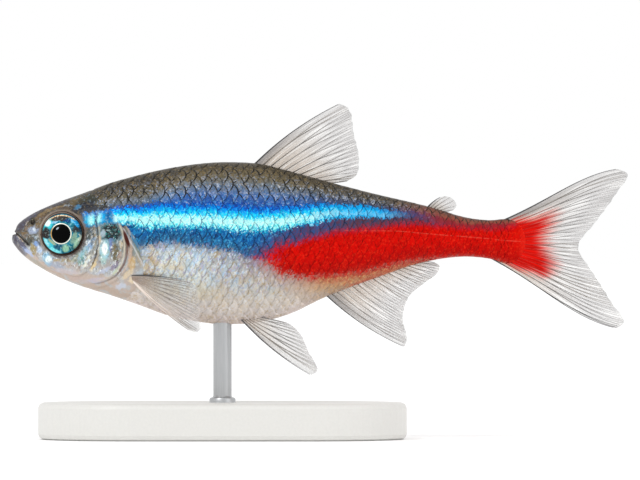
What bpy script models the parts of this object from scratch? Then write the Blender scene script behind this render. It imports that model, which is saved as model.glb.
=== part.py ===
"""Neon tetra at life size, swimming level above a plain display stand.

The fish swims towards -X, +Z is up and its left side faces -Y. Sizes in the tables are
millimetres: `along` runs back from the tip of the snout and `up` from the body's axis, and
point() turns them into Blender's metres, with the origin under the fish at the stand's foot.
"""

import math
from typing import NamedTuple

import bmesh
import bpy
import numpy as np
from mathutils import Vector

MM = 0.001

# Driving sizes of the fish and of the stand, in millimetres
TOTAL_LENGTH = 40.0
GAP = 0.3
STAND_THICKNESS = 2.4
STAND_LENGTH = 24.0
STAND_WIDTH = 13.0
STAND_EDGE = 0.35
ROD_RADIUS = 0.6
ROD_ALONG = 13.7
FIN_CLEARANCE = 1.6
LOWEST_FIN = -8.77
AXIS_HEIGHT = STAND_THICKNESS + FIN_CLEARANCE - LOWEST_FIN


class Station(NamedTuple):
    """One cross-section of the body: its place behind the snout, and its outline there."""

    along: float
    back: float
    belly: float
    half_width: float


SNOUT = Station(0.0, 0.10, 0.08, 0.0)
LIPS = Station(0.26, 0.88, -0.46, 0.58)
CHIN = Station(0.65, 1.26, -0.91, 0.88)
NOSTRILS = Station(1.30, 1.69, -1.43, 1.20)
EYES = Station(3.22, 2.54, -2.50, 1.86)
CHEEK = Station(4.75, 3.09, -3.09, 2.16)
NAPE = Station(6.37, 3.70, -3.58, 2.38)
GILLS = Station(8.00, 4.16, -4.14, 2.50)
SHOULDER = Station(10.28, 4.68, -4.94, 2.60)
DEEPEST = Station(14.20, 5.07, -5.48, 2.56)
DORSAL_FRONT = Station(16.13, 4.95, -5.33, 2.42)
DORSAL_MIDDLE = Station(18.08, 4.47, -4.80, 2.18)
VENT = Station(20.36, 3.84, -3.72, 1.86)
ANAL_MIDDLE = Station(23.70, 2.98, -2.45, 1.42)
ADIPOSE = Station(26.86, 2.24, -1.42, 1.06)
THINNEST = Station(30.20, 1.35, -1.12, 0.72)
TAIL_ROOT = Station(33.30, 1.22, -1.52, 0.42)
BODY = (
    SNOUT, LIPS, CHIN, NOSTRILS, EYES, CHEEK, NAPE, GILLS, SHOULDER, DEEPEST,
    DORSAL_FRONT, DORSAL_MIDDLE, VENT, ANAL_MIDDLE, ADIPOSE, THINNEST, TAIL_ROOT,
)

# Shape of every cross-section: where it is widest, and how square it is above and below that
WIDEST_SHARE = 0.54
UPPER_ROUNDNESS = 2.3
LOWER_ROUNDNESS = 2.15
BODY_RINGS = 46
BODY_SIDES = 36

# Head: the gill opening and the front edge of the gill cover, seen from the side
GILL_LINE = (
    (6.45, 2.70), (6.78, 1.90), (7.24, 0.95), (7.56, -0.20), (7.46, -1.35), (6.98, -2.15),
    (6.10, -2.72),
)
GILL_TOP = (6.30, 5.0)
GILL_FOOT = (5.40, -4.6)
COVER_FRONT = ((5.20, -2.62), (4.60, -2.20), (4.95, -1.20), (5.35, 0.10), (5.55, 1.40), (5.95, 2.40))
COVER_RAISED = 0.10
COVER_THICKNESS = 0.60

# Mouth: the slit from the lips back to its corner, and the hind end of the lower jaw
MOUTH_FRONT = (-1.0, 0.38)
MOUTH_BEND = (0.25, 0.36)
MOUTH_CORNER = (1.22, -0.56)
JAW_HINGE = (1.70, -1.05)
JAW_THROAT = (2.00, -3.0)
LIP_RADIUS = 0.17
LIP_POINTS = 15
NOSTRIL = (1.38, 1.20)
NOSTRIL_RADIUS = 0.17
NOSTRIL_DEPTH = 0.35

# Eye: half of its section from the lens to the back of the ball, as radius and height
EYE = (3.23, 0.39)
EYE_OUTWARD = 1.42
EYE_TURN = math.radians(11)
EYE_PROFILE = (
    (0.0, 0.84), (0.36, 0.81), (0.70, 0.74), (1.00, 0.63), (1.26, 0.46),
    (1.42, 0.18), (1.36, -0.18), (1.02, -0.48), (0.55, -0.64), (0.0, -0.70),
)
EYE_SIDES = 28

# Where the trunk ends and the tail stalk begins, on the back and on the belly
STALK_BACK = (26.35, 6.0)
STALK_BELLY = (27.25, -6.0)


class Fin(NamedTuple):
    """A fin seen from the side. Its rays run from the root line to the margin, front to rear."""

    root: tuple
    margin: tuple
    rays: int
    rows: int
    lead_bow: float
    trail_bow: float


DORSAL_FIN = Fin(
    root=((15.80, 5.00), (18.2, 4.46), (20.60, 3.77)),
    margin=((21.30, 8.86), (21.78, 8.66), (22.26, 6.86), (22.58, 5.17), (22.42, 4.25), (21.80, 3.82)),
    rays=11, rows=7, lead_bow=0.085, trail_bow=-0.02,
)
ADIPOSE_FIN = Fin(
    root=((27.00, 2.18), (27.55, 1.98), (28.05, 1.84)),
    margin=((27.85, 2.78), (28.25, 2.84), (28.70, 2.65), (28.90, 2.25), (28.72, 1.97), (28.40, 1.84)),
    rays=5, rows=5, lead_bow=0.10, trail_bow=-0.02,
)
ANAL_FIN = Fin(
    root=((20.45, -3.70), (23.0, -2.68), (26.70, -1.46)),
    margin=(
        (25.50, -6.95), (25.66, -6.60), (25.44, -5.00), (25.80, -3.74), (26.80, -2.82),
        (27.72, -2.06), (27.82, -1.70), (27.50, -1.46),
    ),
    rays=19, rows=7, lead_bow=-0.085, trail_bow=0.03,
)
TAIL_FIN_UPPER = Fin(
    root=((32.30, 1.22), (32.85, 0.55), (32.95, -0.12)),
    margin=((39.40, 4.62), (40.0, 4.35), (39.27, 2.94), (37.93, 1.10), (37.02, -0.20)),
    rays=10, rows=9, lead_bow=0.075, trail_bow=-0.01,
)
TAIL_FIN_LOWER = Fin(
    root=((32.30, -1.50), (32.85, -1.00), (32.95, -0.44)),
    margin=((39.30, -5.74), (39.72, -5.50), (38.95, -3.92), (37.80, -2.10), (36.96, -0.62)),
    rays=10, rows=9, lead_bow=-0.075, trail_bow=0.01,
)
PECTORAL_FIN = Fin(
    root=((7.90, -2.30), (7.97, -2.56), (8.04, -2.82)),
    margin=((11.30, -2.60), (11.95, -2.92), (12.22, -3.70), (12.24, -4.90), (12.14, -5.96), (11.60, -5.88)),
    rays=10, rows=7, lead_bow=0.05, trail_bow=-0.06,
)
PELVIC_FIN = Fin(
    root=((14.78, -5.10), (15.15, -5.06), (15.60, -5.00)),
    margin=((19.45, -8.77), (19.80, -8.60), (19.28, -7.20), (18.68, -6.00), (18.10, -5.48), (17.10, -5.20)),
    rays=8, rows=7, lead_bow=-0.085, trail_bow=0.03,
)
RAY_HALF_ROOT = 0.33
RAY_HALF_TIP = 0.17
MEMBRANE_HALF_ROOT = 0.26
MEMBRANE_HALF_TIP = 0.14
THINNING_FROM = 0.75
NOTCH = 0.03
SINK = 0.8

LEFT = -1
RIGHT = 1
SIDES = (("left", LEFT), ("right", RIGHT))


class Flare(NamedTuple):
    """How a paired fin stands off the middle plane: at its root, and more for each millimetre."""

    out: float
    backward: float
    downward: float


NO_FLARE = Flare(0.0, 0.0, 0.0)
PECTORAL_FLARE = Flare(out=1.80, backward=0.36, downward=0.10)
PELVIC_FLARE = Flare(out=0.80, backward=0.03, downward=0.34)


class Finish(NamedTuple):
    """A material's colour, roughness and metallic value."""

    colour: tuple
    roughness: float
    metallic: float


FINISHES = {
    "olive_back_skin": Finish((0.16, 0.15, 0.11), 0.35, 0.0),
    "silver_skin": Finish((0.62, 0.62, 0.60), 0.28, 0.2),
    "blue_flank_skin": Finish((0.05, 0.36, 0.75), 0.25, 0.2),
    "red_skin": Finish((0.75, 0.03, 0.02), 0.35, 0.0),
    "clear_fin": Finish((0.80, 0.79, 0.78), 0.40, 0.0),
    "eye_gloss": Finish((0.05, 0.30, 0.36), 0.08, 0.0),
    "stand_white": Finish((0.80, 0.80, 0.78), 0.40, 0.0),
    "stand_steel": Finish((0.60, 0.60, 0.60), 0.30, 1.0),
}


def point(along, side, up):
    """A place on the fish, in metres. side is positive to the fish's right."""
    return Vector((along - TOTAL_LENGTH / 2, side, up + AXIS_HEIGHT)) * MM


def smooth_through(at, places, values):
    """The value at `at` of a smooth curve through values at places, without kinks."""
    at, places, values = (np.asarray(x, float) for x in (at, places, values))
    steps = np.diff(places)
    rises = np.diff(values) / steps
    slopes = np.empty_like(values)
    slopes[0], slopes[-1] = rises[0], rises[-1]
    slopes[1:-1] = (rises[:-1] * steps[1:] + rises[1:] * steps[:-1]) / (steps[1:] + steps[:-1])
    i = np.clip(np.searchsorted(places, at, side="right") - 1, 0, len(steps) - 1)
    t = (at - places[i]) / steps[i]
    before = (1 + 2 * t) * (1 - t) ** 2 * values[i] + t * (1 - t) ** 2 * steps[i] * slopes[i]
    after = t * t * (3 - 2 * t) * values[i + 1] - t * t * (1 - t) * steps[i] * slopes[i + 1]
    return before + after


def smooth_line(points, shares):
    """Points at these shares of the length of a smooth line through the given points."""
    points = np.asarray(points, float)
    lengths = np.concatenate([[0], np.cumsum(np.linalg.norm(np.diff(points, axis=0), axis=1))])
    at = np.asarray(shares) * lengths[-1]
    return np.stack([smooth_through(at, lengths, column) for column in points.T], axis=-1)


def outline_at(along):
    """The back, belly and half width of the body. Square roots keep the snout blunt."""
    places = np.sqrt([station.along for station in BODY])
    at = math.sqrt(max(along, 0.0))
    return tuple(
        float(smooth_through(at, places, [station[i] for station in BODY])) for i in (1, 2, 3)
    )


def widest_level(back, belly):
    return belly + WIDEST_SHARE * (back - belly)


def flank(along, up):
    """How far the skin lies from the middle plane at this place in the side view."""
    back, belly, half_width = outline_at(along)
    level = widest_level(back, belly)
    reach, power = (back - level, UPPER_ROUNDNESS) if up > level else (level - belly, LOWER_ROUNDNESS)
    share = min(abs(up - level) / reach, 1.0)
    return half_width * (1 - share**power) ** (1 / power)


def section(along):
    """One ring of the body, as (side, up), anticlockwise from the right flank."""
    back, belly, half_width = outline_at(along)
    level = widest_level(back, belly)
    ring = []
    for k in range(BODY_SIDES):
        angle = 2 * math.pi * k / BODY_SIDES
        c, s = math.cos(angle), math.sin(angle)
        reach, power = (back - level, UPPER_ROUNDNESS) if s > 0 else (level - belly, LOWER_ROUNDNESS)
        side = half_width * math.copysign(abs(c) ** (2 / power), c)
        up = level + reach * math.copysign(abs(s) ** (2 / power), s)
        ring.append((side, up))
    return ring


def new_object(name, bm):
    """Makes an object of a bmesh, with its faces pointing out, and frees the bmesh."""
    bm.normal_update()
    bmesh.ops.recalc_face_normals(bm, faces=bm.faces)
    mesh = bpy.data.meshes.new(name)
    bm.to_mesh(mesh)
    bm.free()
    made = bpy.data.objects.new(name, mesh)
    bpy.context.scene.collection.objects.link(made)
    return made


def body(name, grown=0.0, shift=0.0):
    """The whole body as one closed loft, grown evenly and shifted to one side."""
    bm = bmesh.new()
    shares = np.linspace(0, 1, BODY_RINGS + 1)[1:]
    rings = []
    for along in TAIL_ROOT.along * shares**2:
        rings.append([bm.verts.new(point(along, side, up)) for side, up in section(along)])
    tip = bm.verts.new(point(SNOUT.along, 0, SNOUT.back))
    for k in range(BODY_SIDES):
        after = (k + 1) % BODY_SIDES
        bm.faces.new((tip, rings[0][k], rings[0][after]))
        for first, second in zip(rings, rings[1:]):
            bm.faces.new((first[k], second[k], second[after], first[after]))
    bm.faces.new(rings[-1])
    bmesh.ops.recalc_face_normals(bm, faces=bm.faces)
    bm.normal_update()
    moves = [(vertex, vertex.normal * grown * MM) for vertex in bm.verts]
    for vertex, move in moves:
        vertex.co += move + Vector((0, shift * MM, 0))
    return new_object(name, bm)


def prism(name, outline, near, far):
    """A closed solid with this outline in the side view, from side near to side far."""
    bm = bmesh.new()
    face = bm.faces.new([bm.verts.new(point(along, near, up)) for along, up in outline])
    swept = bmesh.ops.extrude_face_region(bm, geom=[face])["geom"]
    moved = [item for item in swept if isinstance(item, bmesh.types.BMVert)]
    bmesh.ops.translate(bm, verts=moved, vec=Vector((0, (far - near) * MM, 0)))
    return new_object(name, bm)


def remove(obj):
    bpy.data.objects.remove(obj)


def keep_largest(mesh):
    """Drops every loose scrap of a mesh but its largest closed surface."""
    bm = bmesh.new()
    bm.from_mesh(mesh)
    unseen, surfaces = set(bm.verts), []
    while unseen:
        todo, found = [unseen.pop()], []
        while todo:
            vertex = todo.pop()
            found.append(vertex)
            for edge in vertex.link_edges:
                other = edge.other_vert(vertex)
                if other in unseen:
                    unseen.remove(other)
                    todo.append(other)
        surfaces.append(found)
    surfaces.sort(key=len, reverse=True)
    scraps = [vertex for found in surfaces[1:] for vertex in found]
    bmesh.ops.delete(bm, geom=scraps, context="VERTS")
    bm.to_mesh(mesh)
    bm.free()


def combine(obj, operation, *others):
    """Cuts, crosses or joins obj with the others, which are used up."""
    tools = bpy.data.collections.new("tools")
    for other in others:
        tools.objects.link(other)
    modifier = obj.modifiers.new("combine", "BOOLEAN")
    modifier.operation = operation
    modifier.solver = "EXACT"
    modifier.operand_type = "COLLECTION"
    modifier.collection = tools
    bpy.context.view_layer.update()
    graph = bpy.context.evaluated_depsgraph_get()
    made = bpy.data.meshes.new_from_object(obj.evaluated_get(graph))
    obj.modifiers.remove(modifier)
    obj.data = made
    for other in others:
        remove(other)
    bpy.data.collections.remove(tools)
    keep_largest(obj.data)
    return obj


def grown_outline(outline, by):
    """A closed outline moved outward by this distance, for the pocket round a plate."""
    outline = np.asarray(outline, float)
    tangents = np.roll(outline, -1, axis=0) - np.roll(outline, 1, axis=0)
    normals = np.stack([tangents[:, 1], -tangents[:, 0]], axis=1)
    normals /= np.linalg.norm(normals, axis=1)[:, None]
    signed_area = np.sum(outline[:, 0] * np.roll(outline[:, 1], -1) - np.roll(outline[:, 0], -1) * outline[:, 1])
    return outline + normals * math.copysign(by, signed_area)


def gill_line(behind=0.0):
    """The line that parts head and trunk, from above the back to below the belly."""
    curve = smooth_line((GILL_TOP, *GILL_LINE, GILL_FOOT), np.linspace(0, 1, 22))
    return [(along + behind, up) for along, up in curve]


def cover_outline():
    """The gill cover seen from the side, with its hind edge on the gill line."""
    hind = smooth_line(GILL_LINE, np.linspace(0, 1, 14))
    front = smooth_line(COVER_FRONT, np.linspace(0, 1, 10))
    return [*map(tuple, hind), *map(tuple, front)]


def eyeball(name, outward, grown=0.0):
    """A turned solid with its lens out, facing a little forward like the head's side."""
    bm = bmesh.new()
    turn = [2 * math.pi * k / EYE_SIDES for k in range(EYE_SIDES)]
    rows = []
    for radius, height in EYE_PROFILE[1:-1]:
        rows.append([bm.verts.new((radius * math.cos(a), radius * math.sin(a), height)) for a in turn])
    lens = bm.verts.new((0, 0, EYE_PROFILE[0][1]))
    rear = bm.verts.new((0, 0, EYE_PROFILE[-1][1]))
    for k in range(EYE_SIDES):
        after = (k + 1) % EYE_SIDES
        bm.faces.new((lens, rows[0][k], rows[0][after]))
        bm.faces.new((rear, rows[-1][after], rows[-1][k]))
        for first, second in zip(rows, rows[1:]):
            bm.faces.new((first[k], second[k], second[after], first[after]))
    bmesh.ops.recalc_face_normals(bm, faces=bm.faces)
    bm.normal_update()
    moves = [(vertex, vertex.normal * grown) for vertex in bm.verts]
    c, s = math.cos(EYE_TURN), math.sin(EYE_TURN)
    for vertex, move in moves:
        x, y, z = vertex.co + move
        side = outward * (EYE_OUTWARD + c * z + s * x)
        vertex.co = point(EYE[0] + c * x - s * z, side, EYE[1] + y)
    return new_object(name, bm)


def lip(name, offset):
    """A soft rim round the snout along the mouth slit, this far above or below it."""
    path = []
    for share in np.linspace(-1, 1, LIP_POINTS):
        along = 0.06 + (MOUTH_CORNER[0] - 0.10) * abs(share) ** 1.6
        slit = np.interp(along, (MOUTH_BEND[0], MOUTH_CORNER[0]), (MOUTH_BEND[1], MOUTH_CORNER[1]))
        up = slit + offset * (1 - 0.45 * abs(share))
        path.append(point(along, math.copysign(flank(along, up), share) * 0.96, up))
    curve = bpy.data.curves.new(name, "CURVE")
    curve.dimensions = "3D"
    curve.bevel_depth = LIP_RADIUS * MM
    curve.bevel_resolution = 1
    curve.use_fill_caps = True
    spline = curve.splines.new("POLY")
    spline.points.add(len(path) - 1)
    for place, at in zip(spline.points, path):
        place.co = (*at, 1)
    drawn = bpy.data.objects.new(name, curve)
    bpy.context.scene.collection.objects.link(drawn)
    bpy.context.view_layer.update()
    graph = bpy.context.evaluated_depsgraph_get()
    mesh = bpy.data.meshes.new_from_object(drawn.evaluated_get(graph))
    remove(drawn)
    bm = bmesh.new()
    bm.from_mesh(mesh)
    bmesh.ops.remove_doubles(bm, verts=bm.verts, dist=0.001 * MM)
    return new_object(name, bm)


def mouth_and_jaw(slack):
    """The lower jaw's outline in the side view, larger on every inner edge by slack."""
    return [
        (MOUTH_FRONT[0], MOUTH_FRONT[1] - GAP / 2 + slack),
        (MOUTH_BEND[0], MOUTH_BEND[1] - GAP / 2 + slack),
        (MOUTH_CORNER[0] + slack / 2, MOUTH_CORNER[1] - GAP / 2 + slack),
        (JAW_HINGE[0] + slack, JAW_HINGE[1] + slack / 2),
        (JAW_THROAT[0] + slack, JAW_THROAT[1]),
        (MOUTH_FRONT[0], JAW_THROAT[1]),
    ]


def make_head():
    """The head from snout to gill opening, with eye sockets, nostrils, upper lip and gill pockets."""
    far_forward = -2.0
    zone = [*gill_line(), (far_forward, GILL_FOOT[1]), (far_forward, GILL_TOP[1])]
    head = combine(body("head"), "INTERSECT", prism("zone", zone, -5, 5))
    combine(head, "UNION", lip("upper_lip", 0.24))
    combine(head, "DIFFERENCE", prism("mouth", mouth_and_jaw(GAP), -5, 5))
    for _, outward in SIDES:
        socket = eyeball("socket", outward, grown=GAP)
        outer = outward * (flank(*NOSTRIL) + 0.5)
        inner = outward * (flank(*NOSTRIL) - NOSTRIL_DEPTH)
        turn = [2 * math.pi * k / 12 for k in range(12)]
        ring = [
            (NOSTRIL[0] + NOSTRIL_RADIUS * math.cos(a), NOSTRIL[1] + NOSTRIL_RADIUS * math.sin(a))
            for a in turn
        ]
        nostril = prism("nostril", ring, inner, outer)
        pocket = prism("pocket", grown_outline(cover_outline(), GAP), outward * 0.2, outward * 5)
        beyond_gills = [(7.0, 2.6), (9.0, 2.6), (9.0, -2.6), (7.0, -2.6)]
        combine(pocket, "UNION", prism("behind", beyond_gills, outward * 0.2, outward * 5))
        core = body("core", shift=-outward * (COVER_THICKNESS - COVER_RAISED + GAP))
        combine(pocket, "DIFFERENCE", core)
        for cutter in (socket, nostril, pocket):
            combine(head, "DIFFERENCE", cutter)
    return head


def make_lower_jaw():
    jaw = combine(body("lower_jaw"), "INTERSECT", prism("zone", mouth_and_jaw(0.0), -5, 5))
    rim = combine(lip("lower_lip", -0.26), "INTERSECT", prism("zone", mouth_and_jaw(0.0), -5, 5))
    return combine(jaw, "UNION", rim)


def make_gill_cover(side, outward):
    """A thin bony plate that stands a little proud of the cheek."""
    cover = body(f"gill_cover_{side}", shift=outward * COVER_RAISED)
    combine(cover, "INTERSECT", prism("outline", cover_outline(), outward * 0.2, outward * 5))
    core = body("core", shift=-outward * (COVER_THICKNESS - COVER_RAISED))
    return combine(cover, "DIFFERENCE", core)


def make_trunk():
    rear = [STALK_BELLY, STALK_BACK]
    zone = [*gill_line(GAP), *rear]
    return combine(body("trunk"), "INTERSECT", prism("zone", zone, -5, 5))


def make_tail_stalk():
    beyond = TAIL_ROOT.along + 2
    zone = [
        (STALK_BACK[0] + GAP, STALK_BACK[1]),
        (STALK_BELLY[0] + GAP, STALK_BELLY[1]),
        (beyond, STALK_BELLY[1]),
        (beyond, STALK_BACK[1]),
    ]
    return combine(body("tail_stalk"), "INTERSECT", prism("zone", zone, -5, 5))


def ray_path(fin, share, shares_along):
    """Points along the ray at this share of the fin's width, from inside the body to the margin."""
    root = smooth_line(fin.root, [share])[0]
    tip = smooth_line(fin.margin, [share])[0]
    chord = tip - root
    bow = fin.lead_bow + (fin.trail_bow - fin.lead_bow) * share
    bend = (root + tip) / 2 + bow * np.array([-chord[1], chord[0]])
    into_body = np.mean(fin.root, axis=0) - np.mean(fin.margin, axis=0)
    start = root + SINK * into_body / np.linalg.norm(into_body)
    t = np.asarray(shares_along)[:, None]
    curved = (1 - t) ** 2 * root + 2 * t * (1 - t) * bend + t * t * tip
    return np.concatenate([[start], curved])


def make_fin(name, fin, flare=NO_FLARE, outward=0):
    """A membrane whose rays stand out as ridges on both faces."""
    columns = 2 * fin.rays - 1
    shares_along = np.linspace(0, 1, fin.rows + 1)
    sheet = np.empty((columns, fin.rows + 2, 3))
    half = np.empty((columns, fin.rows + 2))
    for j in range(columns):
        on_ray = j % 2 == 0
        reach = 1.0 if on_ray else 1.0 - NOTCH
        flat = ray_path(fin, j / (columns - 1), shares_along * reach)
        back_from_root, up_from_root = (flat - np.asarray(fin.root[1])).T
        stand_off = flare.out + flare.backward * back_from_root - flare.downward * up_from_root
        sheet[j] = np.stack([flat[:, 0], outward * stand_off, flat[:, 1]], axis=1)
        root_half, tip_half = (
            (RAY_HALF_ROOT, RAY_HALF_TIP) if on_ray else (MEMBRANE_HALF_ROOT, MEMBRANE_HALF_TIP)
        )
        taper = np.clip((shares_along - THINNING_FROM) / (1 - THINNING_FROM), 0, 1)
        half[j] = np.concatenate([[root_half], root_half + (tip_half - root_half) * taper])
    across, down = np.gradient(sheet, axis=0), np.gradient(sheet, axis=1)
    normals = np.cross(across, down)
    normals /= np.linalg.norm(normals, axis=2)[:, :, None]
    bm = bmesh.new()
    faces = []
    for sign in (1, -1):
        places = sheet + sign * normals * half[:, :, None]
        faces.append([[bm.verts.new(point(*p)) for p in column] for column in places])
    front, back = faces
    for j in range(columns - 1):
        for i in range(fin.rows + 1):
            for side in (front, back):
                a, b, c, d = side[j][i], side[j + 1][i], side[j + 1][i + 1], side[j][i + 1]
                bm.faces.new((a, b, c))
                bm.faces.new((a, c, d))
    last_column, last_row = columns - 1, fin.rows + 1
    rim = [(j, 0) for j in range(columns)]
    rim += [(last_column, i) for i in range(1, last_row + 1)]
    rim += [(j, last_row) for j in reversed(range(last_column))]
    rim += [(0, i) for i in reversed(range(1, last_row))]
    for (j, i), (k, m) in zip(rim, rim[1:] + rim[:1]):
        bm.faces.new((front[j][i], front[k][m], back[k][m], back[j][i]))
    made = new_object(name, bm)
    return combine(made, "DIFFERENCE", body("grown_body", grown=GAP))


def make_stand():
    """An oval foot and one rod, which ends just under the belly."""
    bm = bmesh.new()
    straight = (STAND_LENGTH - STAND_WIDTH) / 2
    radius = STAND_WIDTH / 2
    outline = []
    for k in range(48):
        angle = 2 * math.pi * (k + 0.5) / 48
        shift = math.copysign(straight, math.cos(angle))
        outline.append((ROD_ALONG + shift + radius * math.cos(angle), radius * math.sin(angle)))
    face = bm.faces.new([bm.verts.new(point(x, y, -AXIS_HEIGHT)) for x, y in outline])
    swept = bmesh.ops.extrude_face_region(bm, geom=[face])["geom"]
    moved = [item for item in swept if isinstance(item, bmesh.types.BMVert)]
    bmesh.ops.translate(bm, verts=moved, vec=Vector((0, 0, STAND_THICKNESS * MM)))
    base = new_object("stand_base", bm)
    bevel = base.modifiers.new("eased_edge", "BEVEL")
    bevel.width = STAND_EDGE * MM
    bevel.segments = 2
    foot = STAND_THICKNESS + GAP - AXIS_HEIGHT
    bm = bmesh.new()
    bmesh.ops.create_cone(
        bm, cap_ends=True, segments=20, radius1=ROD_RADIUS * MM, radius2=ROD_RADIUS * MM, depth=1
    )
    top = 0.0
    for vertex in bm.verts:
        height = top if vertex.co.z > 0 else foot
        vertex.co = point(ROD_ALONG, 0, height) + Vector((vertex.co.x, vertex.co.y, 0))
    rod = combine(new_object("stand_rod", bm), "DIFFERENCE", body("grown_body", grown=GAP))
    return base, rod


def finish(objects, name):
    """Gives these objects one material, and shades their round faces smooth."""
    looks = FINISHES[name]
    material = bpy.data.materials.new(name)
    material.use_nodes = True
    shader = material.node_tree.nodes["Principled BSDF"]
    shader.inputs["Base Color"].default_value = (*looks.colour, 1)
    shader.inputs["Roughness"].default_value = looks.roughness
    shader.inputs["Metallic"].default_value = looks.metallic
    for obj in objects:
        obj.data.materials.clear()
        obj.data.materials.append(material)
        obj.data.shade_smooth()
        obj.data.set_sharp_from_angle(angle=math.radians(35))


def main():
    for obj in list(bpy.data.objects):
        remove(obj)
    finish([make_head(), make_lower_jaw()], "olive_back_skin")
    finish([make_gill_cover(side, outward) for side, outward in SIDES], "silver_skin")
    finish([eyeball(f"eye_{side}", outward) for side, outward in SIDES], "eye_gloss")
    finish([make_trunk()], "blue_flank_skin")
    finish([make_tail_stalk()], "red_skin")
    fins = [
        make_fin("dorsal_fin", DORSAL_FIN),
        make_fin("adipose_fin", ADIPOSE_FIN),
        make_fin("anal_fin", ANAL_FIN),
        make_fin("tail_fin_upper", TAIL_FIN_UPPER),
        make_fin("tail_fin_lower", TAIL_FIN_LOWER),
    ]
    for side, outward in SIDES:
        fins.append(make_fin(f"pectoral_fin_{side}", PECTORAL_FIN, PECTORAL_FLARE, outward))
        fins.append(make_fin(f"pelvic_fin_{side}", PELVIC_FIN, PELVIC_FLARE, outward))
    finish(fins, "clear_fin")
    base, rod = make_stand()
    finish([base], "stand_white")
    finish([rod], "stand_steel")


main()
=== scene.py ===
"""The looks of a life-size neon tetra model on its display stand.

Every shape is worked out in millimetres beside the fish: `along` runs back from the tip of the
snout, `up` runs up from the body's axis and `side` runs to the fish's right. place() turns such
a point into the frame's metres.
"""

import math
from typing import NamedTuple

import bmesh
import bpy
import numpy as np
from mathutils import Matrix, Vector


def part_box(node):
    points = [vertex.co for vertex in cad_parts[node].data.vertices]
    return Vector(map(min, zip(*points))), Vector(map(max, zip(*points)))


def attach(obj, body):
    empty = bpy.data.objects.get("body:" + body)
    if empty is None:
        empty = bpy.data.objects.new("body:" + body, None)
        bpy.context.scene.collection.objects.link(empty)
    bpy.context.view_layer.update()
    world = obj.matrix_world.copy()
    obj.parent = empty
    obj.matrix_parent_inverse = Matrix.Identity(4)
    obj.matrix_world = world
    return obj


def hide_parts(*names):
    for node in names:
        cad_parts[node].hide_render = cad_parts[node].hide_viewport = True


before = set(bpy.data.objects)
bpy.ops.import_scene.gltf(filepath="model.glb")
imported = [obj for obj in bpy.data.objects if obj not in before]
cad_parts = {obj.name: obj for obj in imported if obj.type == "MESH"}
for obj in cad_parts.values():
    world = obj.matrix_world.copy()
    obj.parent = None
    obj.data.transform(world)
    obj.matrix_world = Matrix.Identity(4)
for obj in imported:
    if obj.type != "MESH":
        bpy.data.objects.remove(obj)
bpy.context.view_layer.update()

bl_info = {
    "name": "Neon Tetra Model",
    "version": (1, 0, 0),
    "blender": (4, 5, 0),
    "location": "View3D > Sidebar > Tetra",
    "description": "Builds a life-size neon tetra with scales, rayed fins and a display stand",
    "category": "Add Mesh",
}

MM = 0.001

# Where the fish lies in the frame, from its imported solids
TAIL_FIN_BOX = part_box("tail_fin_upper")
TRUNK_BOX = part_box("trunk")
BASE_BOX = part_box("stand_base")
ROD_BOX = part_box("stand_rod")
TOTAL_LENGTH = 40.0
DEEPEST_BELLY = -5.48
SNOUT_X = TAIL_FIN_BOX[1].x / MM - TOTAL_LENGTH
AXIS_Z = TRUNK_BOX[0].z / MM - DEEPEST_BELLY

# The camera's framing: the picture is this wide, and the snout lies this far in from its left
PHOTO_WIDTH = 640
SNOUT_PIXEL = 12
PIXELS_PER_MM = 615 / TOTAL_LENGTH

# The lens in millimetres, and how far the floor reaches in metres
CAMERA_LENS = 500.0
FLOOR_REACH = 4
# Lamps, as (name, turn in degrees, share of the key's power, spread in degrees)
LAMPS = (("key", (48, 0, -38), 1.0, 20), ("fill", (70, 0, 55), 0.35, 40))

LEFT = -1
RIGHT = 1
SIDES = (("left", LEFT), ("right", RIGHT))


class Station(NamedTuple):
    """One cross-section of the body: its place behind the snout, and its outline there."""

    along: float
    back: float
    belly: float
    half_width: float


BODY = (
    Station(0.0, 0.10, 0.08, 0.0),
    Station(0.26, 0.88, -0.46, 0.58),
    Station(0.65, 1.26, -0.91, 0.88),
    Station(1.30, 1.69, -1.43, 1.20),
    Station(3.22, 2.54, -2.50, 1.86),
    Station(4.75, 3.09, -3.09, 2.16),
    Station(6.37, 3.70, -3.58, 2.38),
    Station(8.00, 4.16, -4.14, 2.50),
    Station(10.28, 4.68, -4.94, 2.60),
    Station(14.20, 5.07, -5.48, 2.56),
    Station(16.13, 4.95, -5.33, 2.42),
    Station(18.08, 4.47, -4.80, 2.18),
    Station(20.36, 3.84, -3.72, 1.86),
    Station(23.70, 2.98, -2.45, 1.42),
    Station(26.86, 2.24, -1.42, 1.06),
    Station(30.20, 1.36, -1.11, 0.72),
    Station(31.20, 1.29, -1.25, 0.60),
    Station(32.00, 1.36, -1.50, 0.42),
    Station(32.50, 1.32, -1.52, 0.28),
    Station(32.95, 1.08, -1.28, 0.16),
    Station(33.25, 0.74, -0.94, 0.09),
    Station(33.42, 0.34, -0.54, 0.05),
)
WIDEST_SHARE = 0.54
UPPER_ROUNDNESS = 2.3
LOWER_ROUNDNESS = 2.15

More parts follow.
